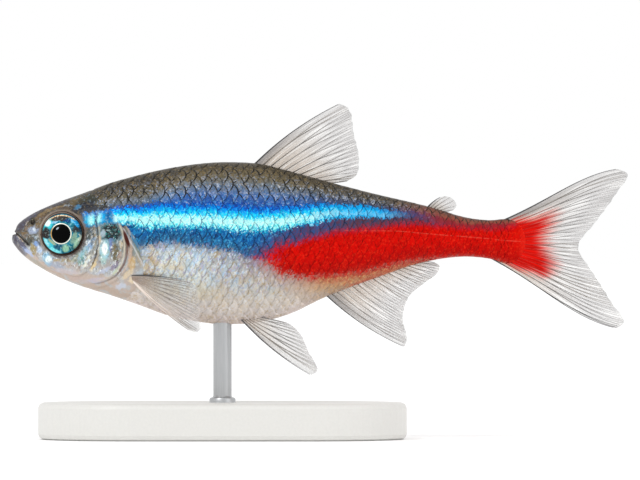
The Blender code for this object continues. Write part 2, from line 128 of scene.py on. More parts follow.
# Lines on the head, front to back or top to bottom
MOUTH_LINE = ((-0.30, 0.50), (0.12, 0.46), (0.34, 0.36), (0.71, 0.03), (1.12, -0.33))
MAXILLA_LINE = ((1.05, 0.38), (1.40, 0.15), (1.72, -0.12), (1.86, -0.62), (1.60, -1.10))
JAW_JOINT_LINE = ((1.14, -0.32), (1.45, -0.85), (2.10, -1.52), (2.95, -2.10))
PREOPERCLE_LINE = (
    (5.50, 1.45), (5.60, 0.75), (5.66, -0.10), (5.55, -0.80), (5.33, -1.50), (4.98, -2.02),
    (4.40, -2.38), (3.40, -2.20),
)
GILL_COVER_EDGE = (
    (6.55, 2.55), (6.86, 1.89), (7.15, 1.07), (7.42, 0.25), (7.50, -0.55), (7.38, -1.30),
    (7.05, -1.97), (6.50, -2.46), (5.80, -2.74), (4.90, -2.86),
)
GILL_MEMBRANE_EDGE = (
    (7.15, 1.07), (7.60, 0.20), (7.80, -0.45), (7.74, -1.38), (7.40, -2.10), (6.65, -2.72),
    (5.70, -3.08), (4.60, -3.06),
)
SHOULDER_EDGE = (
    (7.20, 0.95), (7.42, 0.55), (7.72, -0.05), (7.96, -0.45), (8.27, -1.00), (8.56, -1.60), (8.78, -2.35),
)
THROAT_LINE = ((2.60, -1.90), (3.60, -2.38), (4.70, -2.66), (5.80, -2.70))
SKULL_LINE = ((2.20, 1.95), (3.30, 2.12), (4.60, 2.22), (5.60, 2.35), (6.60, 2.62))
EYE = (3.35, 0.41)
EYE_OUTWARD = 1.42
EYE_TURN = math.radians(8)
ORBIT_RADIUS = 1.385
EYE_RADIUS = 1.41
PUPIL_RADIUS = 0.62
EYE_RINGS = 26
EYE_SIDES = 72
EYE_MAP_SPAN = 3.0
# The eyeball behind its face, as (radius, height) rings, and its rearmost point
EYE_BACK = ((1.38, -0.15), (1.0, -0.45), (0.5, -0.6))
EYE_REAR = -0.62
# The floor of the eye's socket lies this far from the middle plane
SOCKET_FLOOR = 0.85
# Rings of skin round the socket, as (distance beyond it, height, width)
ORBIT_RINGS = ((0.09, 0.055, 0.08), (0.28, -0.030, 0.08))
# Dents at the lips, as (along, up, depth, width), and nostrils, as (along, up, radius, depth)
LIP_DENTS = ((0.05, 0.70, 0.11, 0.30), (0.10, 0.42, 0.14, 0.13))
NOSTRILS = ((1.36, 1.17, 0.17, 0.20), (1.03, 1.00, 0.07, 0.04))
NOSTRIL_RIM = 0.030

# How finely a section's outline and a line on the head are measured
OUTLINE_STEPS = 1440
LINE_POINTS = 28
# Where the head's finer rings end, how they crowd to the snout, and where its relief fades out
HEAD_END = 9.0
HEAD_CROWDING = 1.15
RELIEF_END = (8.9, 9.6)
# The point that closes the skin lies this far behind its last ring
TAIL_TIP = 0.05

# Scales: where they begin, and the row that the others are counted from
SCALE_FRONT = (
    (4.46, 5.0), (4.66, 4.0), (5.01, 3.2), (5.61, 2.6), (6.21, 2.1), (6.78, 1.4), (7.35, 0.9), (7.84, 0.3),
    (8.20, -0.4), (8.34, -0.9), (8.42, -1.6), (8.42, -2.5), (7.76, -3.3), (7.06, -4.1), (6.56, -5.0),
)
MIDDLE_ROW = ((5.5, 0.95), (9.0, 0.75), (14.0, 0.55), (22.0, 0.65), (28.0, 0.25), (34.2, -0.15))
SCALE_AREA_END = 32.3
# How far the head's markings run under the scales, and how far roots keep from the body's edges
UNDER_SCALES = 0.15
FLANK_MARGIN = 0.10
# Scales shrink by this share over this length
SCALE_SHRINK = 0.30
SHRINK_SPAN = (14.0, 34.0)
# One scale: its grid, the rounding of its hind edge, and the share of its length that lies sunk
SCALE_GRID = (5, 7, 2)
EDGE_ROUNDING = 0.42
EDGE_POWER = 2.3
SUNK_SHARE = 0.6
SCALE_SEED = 7
# The table of places on the flank: its steps along the body and round it
FIELD_SPAN = (5.0, 34.1)
FIELD_STEP = 0.1
ARC_REACH = 9.0
ARC_STEP = 0.05
SECTION_POINTS = 720
# A scale's cell on the map: the share that it fills, and the rows that the map has room for
CELL_SHARE = 0.9
MAP_ROWS = 40

ROD_SIDES = 48
ROD_RADIUS = 0.60
ROD_IN_BELLY = 0.15
COLLAR = ((0.85, -0.12), (0.85, 0.22), (0.80, 0.30), (0.66, 0.34), (ROD_RADIUS, 0.42))


def srgb(code):
    """The linear colour of a six-figure screen colour."""
    parts = [int(code[i : i + 2], 16) / 255 for i in (0, 2, 4)]
    return tuple(c / 12.92 if c <= 0.04045 else ((c + 0.055) / 1.055) ** 2.4 for c in parts)


def opaque(colour):
    """The four parts of a colour given as a screen code or as its three linear parts."""
    return (*(srgb(colour) if isinstance(colour, str) else colour), 1)


def place(along, side, up):
    """A point beside the fish, as the frame's metres. It takes numbers or arrays."""
    return (np.stack(np.broadcast_arrays(along + SNOUT_X, side, up + AXIS_Z), axis=-1)) * MM


def smooth_through(at, places, values):
    """The value at `at` of a smooth curve through values at places, without kinks."""
    at, places, values = (np.asarray(x, float) for x in (at, places, values))
    steps = np.diff(places)
    rises = np.diff(values) / steps
    slopes = np.empty_like(values)
    slopes[0], slopes[-1] = rises[0], rises[-1]
    slopes[1:-1] = (rises[:-1] * steps[1:] + rises[1:] * steps[:-1]) / (steps[1:] + steps[:-1])
    i = np.clip(np.searchsorted(places, at, side="right") - 1, 0, len(steps) - 1)
    t = (at - places[i]) / steps[i]
    before = (1 + 2 * t) * (1 - t) ** 2 * values[i] + t * (1 - t) ** 2 * steps[i] * slopes[i]
    after = t * t * (3 - 2 * t) * values[i + 1] - t * t * (1 - t) * steps[i] * slopes[i + 1]
    return before + after


def smooth_line(points, shares):
    """Points at these shares of the length of a smooth line through the given points."""
    points = np.asarray(points, float)
    lengths = np.concatenate([[0], np.cumsum(np.linalg.norm(np.diff(points, axis=0), axis=1))])
    at = np.asarray(shares) * lengths[-1]
    return np.stack([smooth_through(at, lengths, column) for column in points.T], axis=-1)


def ease(x, low, high):
    """0 below low, 1 above high, and a smooth step between them."""
    t = np.clip((x - low) / (high - low), 0, 1)
    return t * t * (3 - 2 * t)


def hump(distance, width):
    """1 at no distance, fading out softly over this width."""
    return np.exp(-((distance / width) ** 2))


def outline_at(along):
    """Arrays of the back, belly and half width of the body. Square roots keep the snout blunt."""
    at = np.sqrt(np.clip(along, 0, None))
    places = np.sqrt([station.along for station in BODY])
    return [smooth_through(at, places, [station[i] for station in BODY]) for i in (1, 2, 3)]


def section_loop(along, count):
    """Points (side, up) round the body, evenly spaced from the back down its left side and up again."""
    back, belly, half_width = (float(value) for value in outline_at(np.array(along)))
    level = belly + WIDEST_SHARE * (back - belly)
    angle = np.linspace(0, 2 * math.pi, OUTLINE_STEPS + 1)
    c, s = np.cos(angle), -np.sin(angle)
    reach = np.where(c > 0, back - level, level - belly)
    power = 2 / np.where(c > 0, UPPER_ROUNDNESS, LOWER_ROUNDNESS)
    side = half_width * np.copysign(np.abs(s) ** power, s)
    up = level + reach * np.copysign(np.abs(c) ** power, c)
    run = np.concatenate([[0], np.cumsum(np.hypot(np.diff(side), np.diff(up)))])
    at = np.linspace(0, run[-1], count + 1)[:-1]
    return np.interp(at, run, side), np.interp(at, run, up)


def distance_to_line(points, along, up):
    """Distance to a line in the side view, positive on its left, and the share of its length."""
    line = smooth_line(points, np.linspace(0, 1, LINE_POINTS))
    best = np.full(along.shape, np.inf)
    signed = np.zeros(along.shape)
    share = np.zeros(along.shape)
    for i, ((x0, y0), (x1, y1)) in enumerate(zip(line, line[1:])):
        dx, dy = x1 - x0, y1 - y0
        t = np.clip(((along - x0) * dx + (up - y0) * dy) / (dx * dx + dy * dy), 0, 1)
        away = np.hypot(along - x0 - t * dx, up - y0 - t * dy)
        nearer = away < best
        turn = (along - x0) * -dy + (up - y0) * dx
        best = np.where(nearer, away, best)
        signed = np.where(nearer, np.copysign(away, turn), signed)
        share = np.where(nearer, (i + t) / (len(line) - 1), share)
    return signed, share


class Crease(NamedTuple):
    """A soft line in the skin. A positive height is a ridge, a negative one a groove."""

    line: tuple
    height: float
    width: float
    shift: float = 0.0
    fade: float = 0.12


CREASES = (
    Crease(MOUTH_LINE, -0.15, 0.050, fade=0.04),
    Crease(MOUTH_LINE, 0.040, 0.090, shift=0.13, fade=0.10),
    Crease(MOUTH_LINE, 0.060, 0.090, shift=-0.13, fade=0.10),
    Crease(MAXILLA_LINE, -0.045, 0.050),
    Crease(MAXILLA_LINE, 0.025, 0.080, shift=-0.12),
    Crease(JAW_JOINT_LINE, -0.035, 0.060),
    Crease(PREOPERCLE_LINE, -0.055, 0.045),
    Crease(PREOPERCLE_LINE, 0.035, 0.120, shift=-0.16),
    Crease(GILL_COVER_EDGE, -0.085, 0.055, shift=0.06),
    Crease(GILL_COVER_EDGE, 0.045, 0.130, shift=-0.12),
    Crease(GILL_MEMBRANE_EDGE, -0.045, 0.055, shift=0.05),
    Crease(GILL_MEMBRANE_EDGE, 0.025, 0.080, shift=-0.08),
    Crease(SHOULDER_EDGE, 0.030, 0.090),
    Crease(SHOULDER_EDGE, -0.030, 0.060, shift=0.16),
    Crease(THROAT_LINE, -0.025, 0.050),
    Crease(SKULL_LINE, -0.030, 0.060),
)


def head_relief(along, up):
    """How far the skin of the head stands out from the plain form, in millimetres."""
    height = np.zeros(along.shape)
    for crease in CREASES:
        away, share = distance_to_line(crease.line, along, up)
        ends = ease(share, 0, crease.fade) * ease(1 - share, 0, crease.fade)
        height += crease.height * ends * hump(away - crease.shift, crease.width)
    from_eye = np.hypot(along - EYE[0], up - EYE[1])
    for distance, rise, width in ORBIT_RINGS:
        height += rise * hump(from_eye - ORBIT_RADIUS - distance, width)
    for x, y, depth, width in LIP_DENTS:
        height -= depth * hump(np.hypot(along - x, up - y), width)
    for x, y, radius, depth in NOSTRILS:
        away = np.hypot(along - x, up - y)
        height -= depth * (1 - ease(away, 0.4 * radius, 1.1 * radius))
        height += NOSTRIL_RIM * hump(away - 1.5 * radius, 0.06)
    return height


def normals_of(grid, closed):
    """Unit normals of a grid of points, pointing out of the fish."""
    down = np.gradient(grid, axis=0)
    if closed:
        around = (np.roll(grid, -1, axis=1) - np.roll(grid, 1, axis=1)) / 2
    else:
        around = np.gradient(grid, axis=1)
    normals = np.cross(around, down)
    return normals / np.maximum(np.linalg.norm(normals, axis=2), 1e-12)[:, :, None]


def add_object(name, data):
    """A new object in the scene."""
    made = bpy.data.objects.new(name, data)
    bpy.context.scene.collection.objects.link(made)
    return made


def mesh_object(name, vertices, faces, smooth=True):
    """A new object of these vertices, in metres, and faces."""
    mesh = bpy.data.meshes.new(name)
    mesh.from_pydata(np.asarray(vertices).tolist(), [], faces)
    mesh.validate()
    if smooth:
        mesh.shade_smooth()
    return add_object(name, mesh)


def ring_faces(rings, sides):
    """Faces between rings of points, each ring with the same number of points."""
    faces = []
    for ring in range(rings - 1):
        for side in range(sides):
            here, beside = ring * sides + side, ring * sides + (side + 1) % sides
            faces.append((here, beside, beside + sides, here + sides))
    return faces


def end_faces(rings, sides, first_pole, last_pole):
    """Triangles that close the first and the last ring with a point each."""
    last = (rings - 1) * sides
    faces = []
    for side in range(sides):
        beside = (side + 1) % sides
        faces.append((first_pole, beside, side))
        faces.append((last_pole, last + side, last + beside))
    return faces


def corner_points(mesh):
    """The number of the point at every corner of the faces."""
    index = np.empty(len(mesh.loops), int)
    mesh.loops.foreach_get("vertex_index", index)
    return index


def add_map(mesh, name, uv):
    """A UV map with these coordinates for the faces' corners."""
    layer = mesh.uv_layers.new(name=name)
    layer.data.foreach_set("uv", uv.astype(np.float32).ravel())


def point_outwards(mesh):
    """Turns every face of a closed mesh out."""
    bm = bmesh.new()
    bm.from_mesh(mesh)
    bm.normal_update()
    bmesh.ops.recalc_face_normals(bm, faces=bm.faces)
    bm.to_mesh(mesh)
    bm.free()


def hand_over(obj, slot, *nodes):
    """Lets a finished piece ride on the model in place of these solids."""
    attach(obj, "root")
    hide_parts(*nodes)


def skin_stations(head_rings, body_rings):
    """Places of the skin's rings: close together on the head, and wider apart behind it."""
    head = HEAD_END * np.linspace(0, 1, head_rings + 1)[1:] ** HEAD_CROWDING
    body = np.linspace(HEAD_END, BODY[-1].along, body_rings + 1)[1:]
    return np.concatenate([head, body])


def unwrap_skin(mesh, count, sides):
    """Lays the skin's rings side by side on its map, cut along the back."""
    index = corner_points(mesh)
    row, column = np.divmod(index, sides)
    starts = np.array([polygon.loop_start for polygon in mesh.polygons])
    totals = np.array([polygon.loop_total for polygon in mesh.polygons])
    owner = np.repeat(np.arange(len(starts)), totals)
    poles = row >= count
    u = np.where(poles, np.where(index == count * sides, 0.0, 1.0), (row + 1) / (count + 1))
    v = column / sides
    wraps = np.zeros(len(starts), bool)
    np.logical_or.at(wraps, owner, ~poles & (v > 0.9))
    v = np.where(wraps[owner] & ~poles & (v < 0.1), v + 1, v)
    corner = np.arange(len(index)) - starts[owner]
    beside = starts[owner] + (corner + 1) % totals[owner]
    v = np.where(poles, v[beside], v)
    add_map(mesh, "OFBake", np.stack([0.01 + 0.98 * u, 0.01 + 0.97 * v], axis=1))


def build_skin(sizes, tints):
    """The whole skin as one closed mesh, with the relief of the head in its surface."""
    rings = skin_stations(sizes.head_rings, sizes.body_rings)
    loops = [section_loop(along, sizes.skin_sides) for along in rings]
    side = np.stack([loop[0] for loop in loops])
    up = np.stack([loop[1] for loop in loops])
    along = np.repeat(rings[:, None], sizes.skin_sides, axis=1)
    grid = np.stack([along, side, up], axis=2)
    normals = normals_of(grid, closed=True)
    height = head_relief(along, up) * (1 - ease(along, *RELIEF_END))
    bed = sizes.scale_bed / MM * behind_scale_front(along, up)
    grid = grid + normals * (height - bed)[:, :, None]
    from_eye = np.hypot(along - EYE[0], up - EYE[1])
    socket = 1 - ease(from_eye, ORBIT_RADIUS - 0.05, ORBIT_RADIUS + 0.03)
    floor = np.copysign(SOCKET_FLOOR, side)
    grid[:, :, 1] += socket * np.where(np.abs(grid[:, :, 1]) > SOCKET_FLOOR, floor - grid[:, :, 1], 0)
    count, sides = grid.shape[:2]
    vertices = place(*grid.reshape(-1, 3).T).tolist()
    vertices.append(place(BODY[0].along, 0.0, BODY[0].back).tolist())
    vertices.append(place(rings[-1] + TAIL_TIP, 0.0, (BODY[-1].back + BODY[-1].belly) / 2).tolist())
    snout, tail = count * sides, count * sides + 1
    faces = ring_faces(count, sides) + end_faces(count, sides, snout, tail)
    skin = mesh_object("skin", vertices, faces)
    point_outwards(skin.data)
    unwrap_skin(skin.data, count, sides)
    relief = skin.data.attributes.new("relief", "FLOAT", "POINT")
    relief.data.foreach_set("value", np.concatenate([height.ravel(), [0.0, 0.0]]).astype(np.float32))
    skin.data.materials.append(skin_material("tetra_head_skin", head_colours, tints))
    skin.data.materials.append(skin_material("tetra_body_skin", body_colours, tints))
    under_scales = behind_scale_front(along - UNDER_SCALES, up, soft=0.01).ravel() > 0.5
    under_scales = np.concatenate([under_scales, [False, True]])
    first_points = [polygon.vertices[0] for polygon in skin.data.polygons]
    skin.data.polygons.foreach_set("material_index", under_scales[first_points].astype(np.int32))
    gill_covers = [f"gill_cover_{name}" for name, _ in SIDES]
    hand_over(skin, "silver_skin", "head", "lower_jaw", *gill_covers, "trunk", "tail_stalk")
    return skin


def behind_scale_front(along, up, soft=0.25):
    """1 where scales cover the skin and 0 on the bare head, with a soft step between them."""
    line = np.array(SCALE_FRONT)[::-1]
    front = np.interp(up, line[:, 1], line[:, 0])
    return ease(along, front, front + soft)


class ScaleField:
    """Turns scale coordinates, in columns and rows, into places on the skin.

    A column is one scale's pitch along the body and a row is half of a scale's height, so both
    shrink towards the tail with the scales.
    """

    def __init__(self, sizes):
        self.alongs = np.arange(*FIELD_SPAN, FIELD_STEP)
        pitch = sizes.scale_pitch / MM * (1 - SCALE_SHRINK * ease(self.alongs, *SHRINK_SPAN))
        self.columns = np.concatenate([[0], np.cumsum(FIELD_STEP / ((pitch[1:] + pitch[:-1]) / 2))])
        self.row_height = sizes.scale_row_share * pitch
        self.arcs = np.arange(-ARC_REACH, ARC_REACH + 0.01, ARC_STEP)
        middle = np.interp(self.alongs, *zip(*MIDDLE_ROW))
        grid, self.top, self.bottom = [], [], []
        for along, level in zip(self.alongs, middle):
            side, up = section_loop(along, SECTION_POINTS)
            run = np.arange(SECTION_POINTS) * np.hypot(side[1] - side[0], up[1] - up[0])
            left = slice(0, SECTION_POINTS // 2 + 1)
            start = np.interp(-level, -up[left], run[left])
            total = run[-1] + run[1]
            at = (start - self.arcs) % total
            sides = np.interp(at, [*run, total], [*side, side[0]])
            ups = np.interp(at, [*run, total], [*up, up[0]])
            grid.append(np.stack([np.full(at.shape, along), sides, ups], axis=1))
            self.top.append(start)
            self.bottom.append(total / 2 - start)
        self.grid = np.array(grid)
        self.normals = -normals_of(self.grid, closed=False)
        self.top, self.bottom = np.array(self.top), np.array(self.bottom)

    def along_of(self, column):
        """Distance behind the snout of a place counted in columns."""
        return np.interp(column, self.columns, self.alongs)

    def height_of_row(self, along):
        """Half of a scale's height at a distance behind the snout."""
        return np.interp(along, self.alongs, self.row_height)

    def surface(self, along, arc):
        """Places and outward normals on the left side at these distances along and round the body."""
        x = np.clip((along - self.alongs[0]) / FIELD_STEP, 0, len(self.alongs) - 1.001)
        y = np.clip((arc - self.arcs[0]) / ARC_STEP, 0, len(self.arcs) - 1.001)
        i, j = x.astype(int), y.astype(int)
        fx, fy = (x - i)[..., None], (y - j)[..., None]
        found = []
        for table in (self.grid, self.normals):
            near = table[i, j] * (1 - fy) + table[i, j + 1] * fy
            far = table[i + 1, j] * (1 - fy) + table[i + 1, j + 1] * fy
            found.append(near * (1 - fx) + far * fx)
        places, normals = found
        return places, normals / np.linalg.norm(normals, axis=-1)[..., None]


class Tree:
    """A node tree that is built with Python expressions."""

    def __init__(self, tree):
        self.tree = tree

    def node(self, kind, settings=None, out=0, **values):
        """Adds a node, applies its settings, fills its sockets by identifier, and returns an output."""
        made = self.tree.nodes.new(kind)
        for name, value in (settings or {}).items():
            if name == "stops":
                set_stops(made.color_ramp, value)
            elif name == "points":
                set_points(made.mapping, value)
            else:
                setattr(made, name, value)
        for name, value in values.items():
            socket = next(s for s in made.inputs if s.identifier == name or s.name == name.replace("_", " "))
            self.fill(socket, value)
        outputs = made.outputs
        found = outputs[out] if isinstance(out, int) else next(s for s in outputs if s.identifier == out)
        return Wire(self, found)

    def fill(self, socket, value):
        """Links a wire to the socket, or gives it a plain value."""
        if isinstance(value, Wire):
            self.tree.links.new(value.socket, socket)
        elif socket.type == "RGBA":
            socket.default_value = opaque(value)
        else:
            socket.default_value = value

    def math(self, operation, *values):
        names = ("Value", "Value_001", "Value_002")
        return self.node("ShaderNodeMath", {"operation": operation}, **dict(zip(names, values)))

    def vector(self, operation, a, b):
        return self.node("ShaderNodeVectorMath", {"operation": operation}, Vector=a, Vector_001=b)

    def dot(self, a, b):
        settings = {"operation": "DOT_PRODUCT"}
        return self.node("ShaderNodeVectorMath", settings, out="Value", Vector=a, Vector_001=b)

    def length(self, vector):
        return self.node("ShaderNodeVectorMath", {"operation": "LENGTH"}, out="Value", Vector=vector)

    def join(self, x, y, z):
        return self.node("ShaderNodeCombineXYZ", X=x, Y=y, Z=z)

    def split(self, wire):
        """The three parts of a vector or a colour."""
        if wire.socket.type == "RGBA":
            return [self.node("ShaderNodeSeparateColor", out=part, Color=wire) for part in (0, 1, 2)]
        return [self.node("ShaderNodeSeparateXYZ", out=name, Vector=wire) for name in "XYZ"]

    def drift(self, vector, scale, detail, reach):
        """A vector that wanders from place to place by up to half of each reach."""
        parts = self.split(self.noise(vector, scale, detail, out=1))
        return self.join(*((part - 0.5) * far for part, far in zip(parts, reach)))

    def mix(self, factor, a, b):
        """Colour a where factor is 0 and colour b where it is 1."""
        settings = {"data_type": "RGBA", "clamp_factor": True}
        return self.node(
            "ShaderNodeMix", settings, out="Result_Color", Factor_Float=factor, A_Color=a, B_Color=b
        )

    def brighten(self, colour, value):
        """The colour with its brightness multiplied by value."""
        unchanged = {"Saturation": 1.0, "Hue": 0.5, "Fac": 1.0}
        return self.node("ShaderNodeHueSaturation", Color=colour, Value=value, **unchanged)

    def step(self, value, low, high):
        """0 below low, 1 above high, and a smooth step between them. low may be above high."""
        flip = low > high
        settings = {"interpolation_type": "SMOOTHSTEP", "clamp": True}
        ends = (1.0, 0.0) if flip else (0.0, 1.0)
        return self.node(
            "ShaderNodeMapRange", settings, Value=value, From_Min=min(low, high), From_Max=max(low, high),
            To_Min=ends[0], To_Max=ends[1],
        )

    def ramp(self, value, *stops):
        return self.node("ShaderNodeValToRGB", {"stops": stops}, Fac=value)

    def curve(self, value, points):
        """A smooth curve through (place, height) points, read at value."""
        (low, _), (high, _) = points[0], points[-1]
        heights = [height for _, height in points]
        bottom, span = min(heights), (max(heights) - min(heights)) or 1.0
        shares = [((x - low) / (high - low), (height - bottom) / span) for x, height in points]
        share = (value - low) / (high - low)
        return self.node("ShaderNodeFloatCurve", {"points": shares}, Value=share) * span + bottom

    def noise(self, vector, scale, detail=2.0, out=0):
        return self.node("ShaderNodeTexNoise", out=out, Vector=vector, Scale=scale, Detail=detail)

    def cells(self, vector, scale, out="Color"):
        return self.node("ShaderNodeTexVoronoi", out=out, Vector=vector, Scale=scale)

    def oval(self, vector, patch):
        """1 inside a patch and 0 outside it, seen from the side."""
        c, s = math.cos(math.radians(patch.tilt)), math.sin(math.radians(patch.tilt))
        moved = self.vector("SUBTRACT", vector, (patch.along, 0.0, patch.up))
        long_way = self.dot(moved, (c / patch.length, 0.0, s / patch.length))
        short_way = self.dot(moved, (-s / patch.height, 0.0, c / patch.height))
        return self.step(long_way * long_way + short_way * short_way, 1.49, 0.38)


class Wire:
    """An output socket, on which sums and products add Math nodes."""

    def __init__(self, tree, socket):
        self.tree = tree
        self.socket = socket

    def __add__(self, other):
        return self.tree.math("ADD", self, other)

    __radd__ = __add__

    def __sub__(self, other):
        return self.tree.math("SUBTRACT", self, other)

    def __rsub__(self, other):
        return self.tree.math("SUBTRACT", other, self)

    def __mul__(self, other):
        return self.tree.math("MULTIPLY", self, other)

    __rmul__ = __mul__

    def __truediv__(self, other):
        return self.tree.math("DIVIDE", self, other)

    def __pow__(self, other):
        return self.tree.math("POWER", self, other)


def set_stops(ramp, stops):
    """Gives a colour ramp these (place, colour) stops."""
    elements = ramp.elements
    while len(elements) > 1:
        elements.remove(elements[-1])
    for i, (position, colour) in enumerate(stops):
        element = elements[0] if i == 0 else elements.new(position)
        element.position = position
        element.color = opaque(colour)


def set_points(mapping, points):
    """Gives a float curve these points."""
    curve = mapping.curves[0]
    while len(curve.points) > 2:
        curve.points.remove(curve.points[1])
    curve.points[0].location = points[0]
    curve.points[1].location = points[-1]
    for x, y in points[1:-1]:
        curve.points.new(x, y)
    mapping.update()


class Finish(Tree):
    """A material's tree, with its Principled shader and the fish's own coordinates."""

    def __init__(self, name, **constants):
        self.material = bpy.data.materials.new(name)
        self.material.use_nodes = True
        super().__init__(self.material.node_tree)
        self.shader = self.tree.nodes["Principled BSDF"]
        for socket, value in constants.items():
            self.fill(self.shader.inputs[socket.replace("_", " ")], value)

    def feed(self, **values):
        """Fills the shader's sockets and returns the material."""
        for socket, value in values.items():
            self.fill(self.shader.inputs[socket.replace("_", " ")], value)
        return self.material

    def beside_fish(self):
        """The point in millimetres as along, side and up, and the same as one vector."""
        point = self.node("ShaderNodeTexCoord", out="Object")
        point = self.vector("MULTIPLY", point, (1 / MM, 1 / MM, 1 / MM))
        point = self.vector("SUBTRACT", point, (SNOUT_X, 0, AXIS_Z))
        return (*self.split(point), point)

    def attribute(self, name, out="Vector"):
        return self.node("ShaderNodeAttribute", {"attribute_name": name}, out=out)

    def bump(self, height, distance, strength):
        return self.node("ShaderNodeBump", Height=height, Distance=distance, Strength=strength)


# Markings, as (along, up) lines
BACK_LINE = tuple((station.along, station.back) for station in BODY if station.along > 0.5)
BELLY_LINE = tuple((station.along, station.belly) for station in BODY if station.along > 0.5)
STRIPE_TOP = (
    (4.4, 1.72), (5.0, 1.76), (6.4, 1.98), (8.3, 2.18), (10.3, 2.36), (12.2, 2.32), (14.2, 2.25),
    (16.1, 2.12), (18.1, 2.16), (20.0, 2.32), (22.0, 2.28), (23.9, 2.05), (25.9, 1.82), (28.0, 1.36),
    (30.2, 0.98), (32.8, 1.00), (34.2, 1.10),
)
STRIPE_BOTTOM = (
    (4.4, 0.95), (5.0, 0.85), (6.4, 1.08), (8.3, 0.70), (10.3, 0.62), (12.2, 0.64), (14.2, 0.52),
    (16.1, 0.42), (18.1, 0.72), (20.0, 1.10), (22.0, 1.46), (23.9, 1.44), (25.9, 1.38), (28.0, 1.12),
    (30.2, 0.84), (34.2, 0.80),
)
DARK_BAND_BOTTOM = (
    (4.4, 0.60), (6.4, 0.50), (8.3, -0.30), (10.3, -0.10), (12.2, -0.26), (14.2, -0.60), (16.1, -1.15),
    (17.1, -1.20), (18.1, -0.75), (20.0, -0.05), (22.0, 0.28), (23.9, 0.46), (28.0, 0.50), (34.2, 0.45),
)
RED_TOP = (
    (15.0, -1.05), (16.3, -0.78), (17.1, -0.44), (18.1, -0.12), (18.7, 0.04), (19.9, 0.36), (21.0, 0.64),
    (22.7, 0.88), (24.4, 1.03), (26.1, 1.18), (27.8, 1.10), (29.5, 0.92), (31.5, 0.88), (32.5, 1.10),
    (33.2, 1.60), (35.0, 2.20),
)
RED_BOTTOM = (
    (15.0, -1.25), (16.0, -1.50), (17.0, -1.90), (17.5, -2.16), (18.1, -2.36), (19.2, -2.48), (20.4, -2.45),
    (21.2, -2.37), (22.7, -2.17), (24.4, -1.80), (26.1, -1.44), (27.8, -1.30), (29.8, -1.24),
    (31.5, -1.45), (32.7, -1.80), (33.7, -2.20), (35.0, -2.40),
)
LATERAL_LINE = (
    (19.0, 0.74), (20.4, 0.66), (22.7, 0.60), (24.9, 0.58), (26.6, 0.44), (28.7, 0.27), (30.4, 0.14),
    (32.1, -0.03), (34.0, -0.16),
)


class Patch(NamedTuple):
    """A soft oval marking on the head or the eye, a few of which are painted highlight and shade: its
    middle, half axes, tilt and colour.
    """

    along: float
    up: float
    length: float
    height: float
    tilt: float
    code: str
    strength: float = 0.8


SPECKLED_SPOT = Patch(6.50, 0.50, 0.72, 0.70, 0, "1a292e", 1.00)


class Line(NamedTuple):
    """A thin line down the side of the head, through (up, along) points."""

    points: tuple
    shift: float
    width: float
    code: str
    upper_code: str
    strength: float


def upright(points, lowest, highest):
    """The part of a line between two heights, as (up, along) points from the lowest up."""
    return tuple((up, along) for along, up in reversed(points) if lowest <= up <= highest)


PREOPERCLE_UP = upright(PREOPERCLE_LINE, -2.1, 1.5)
GILL_COVER_UP = upright(GILL_COVER_EDGE, -2.5, 2.6)
SHOULDER_UP = upright(SHOULDER_EDGE, -2.4, 1.0)
# The bones' edges: the dark lines lie in their grooves and are partly painted shade
HEAD_LINES = (
    Line(PREOPERCLE_UP, 0.00, 0.060, "382f2c", "0c3c5c", 0.75),
    Line(PREOPERCLE_UP, 0.12, 0.070, "d2bc96", "9ff4f4", 0.30),
    Line(GILL_COVER_UP, 0.03, 0.110, "7c5546", "0c3550", 0.60),
    Line(GILL_COVER_UP, -0.12, 0.060, "e2d6be", "8fe6f2", 0.35),
    Line(GILL_COVER_UP, 0.30, 0.120, "d3b49c", "8fe6f2", 0.40),
    Line(SHOULDER_UP, -0.02, 0.070, "c4c4c8", "a4bccc", 0.65),
    Line(SHOULDER_UP, 0.14, 0.080, "6f6c58", "6f6c58", 0.50),
)
# The gill opening: the gills' red, darkened by painted shade in the slit
GILL_SLIT = Patch(7.50, 0.08, 0.13, 0.58, 20, "4a2018", 1.0)
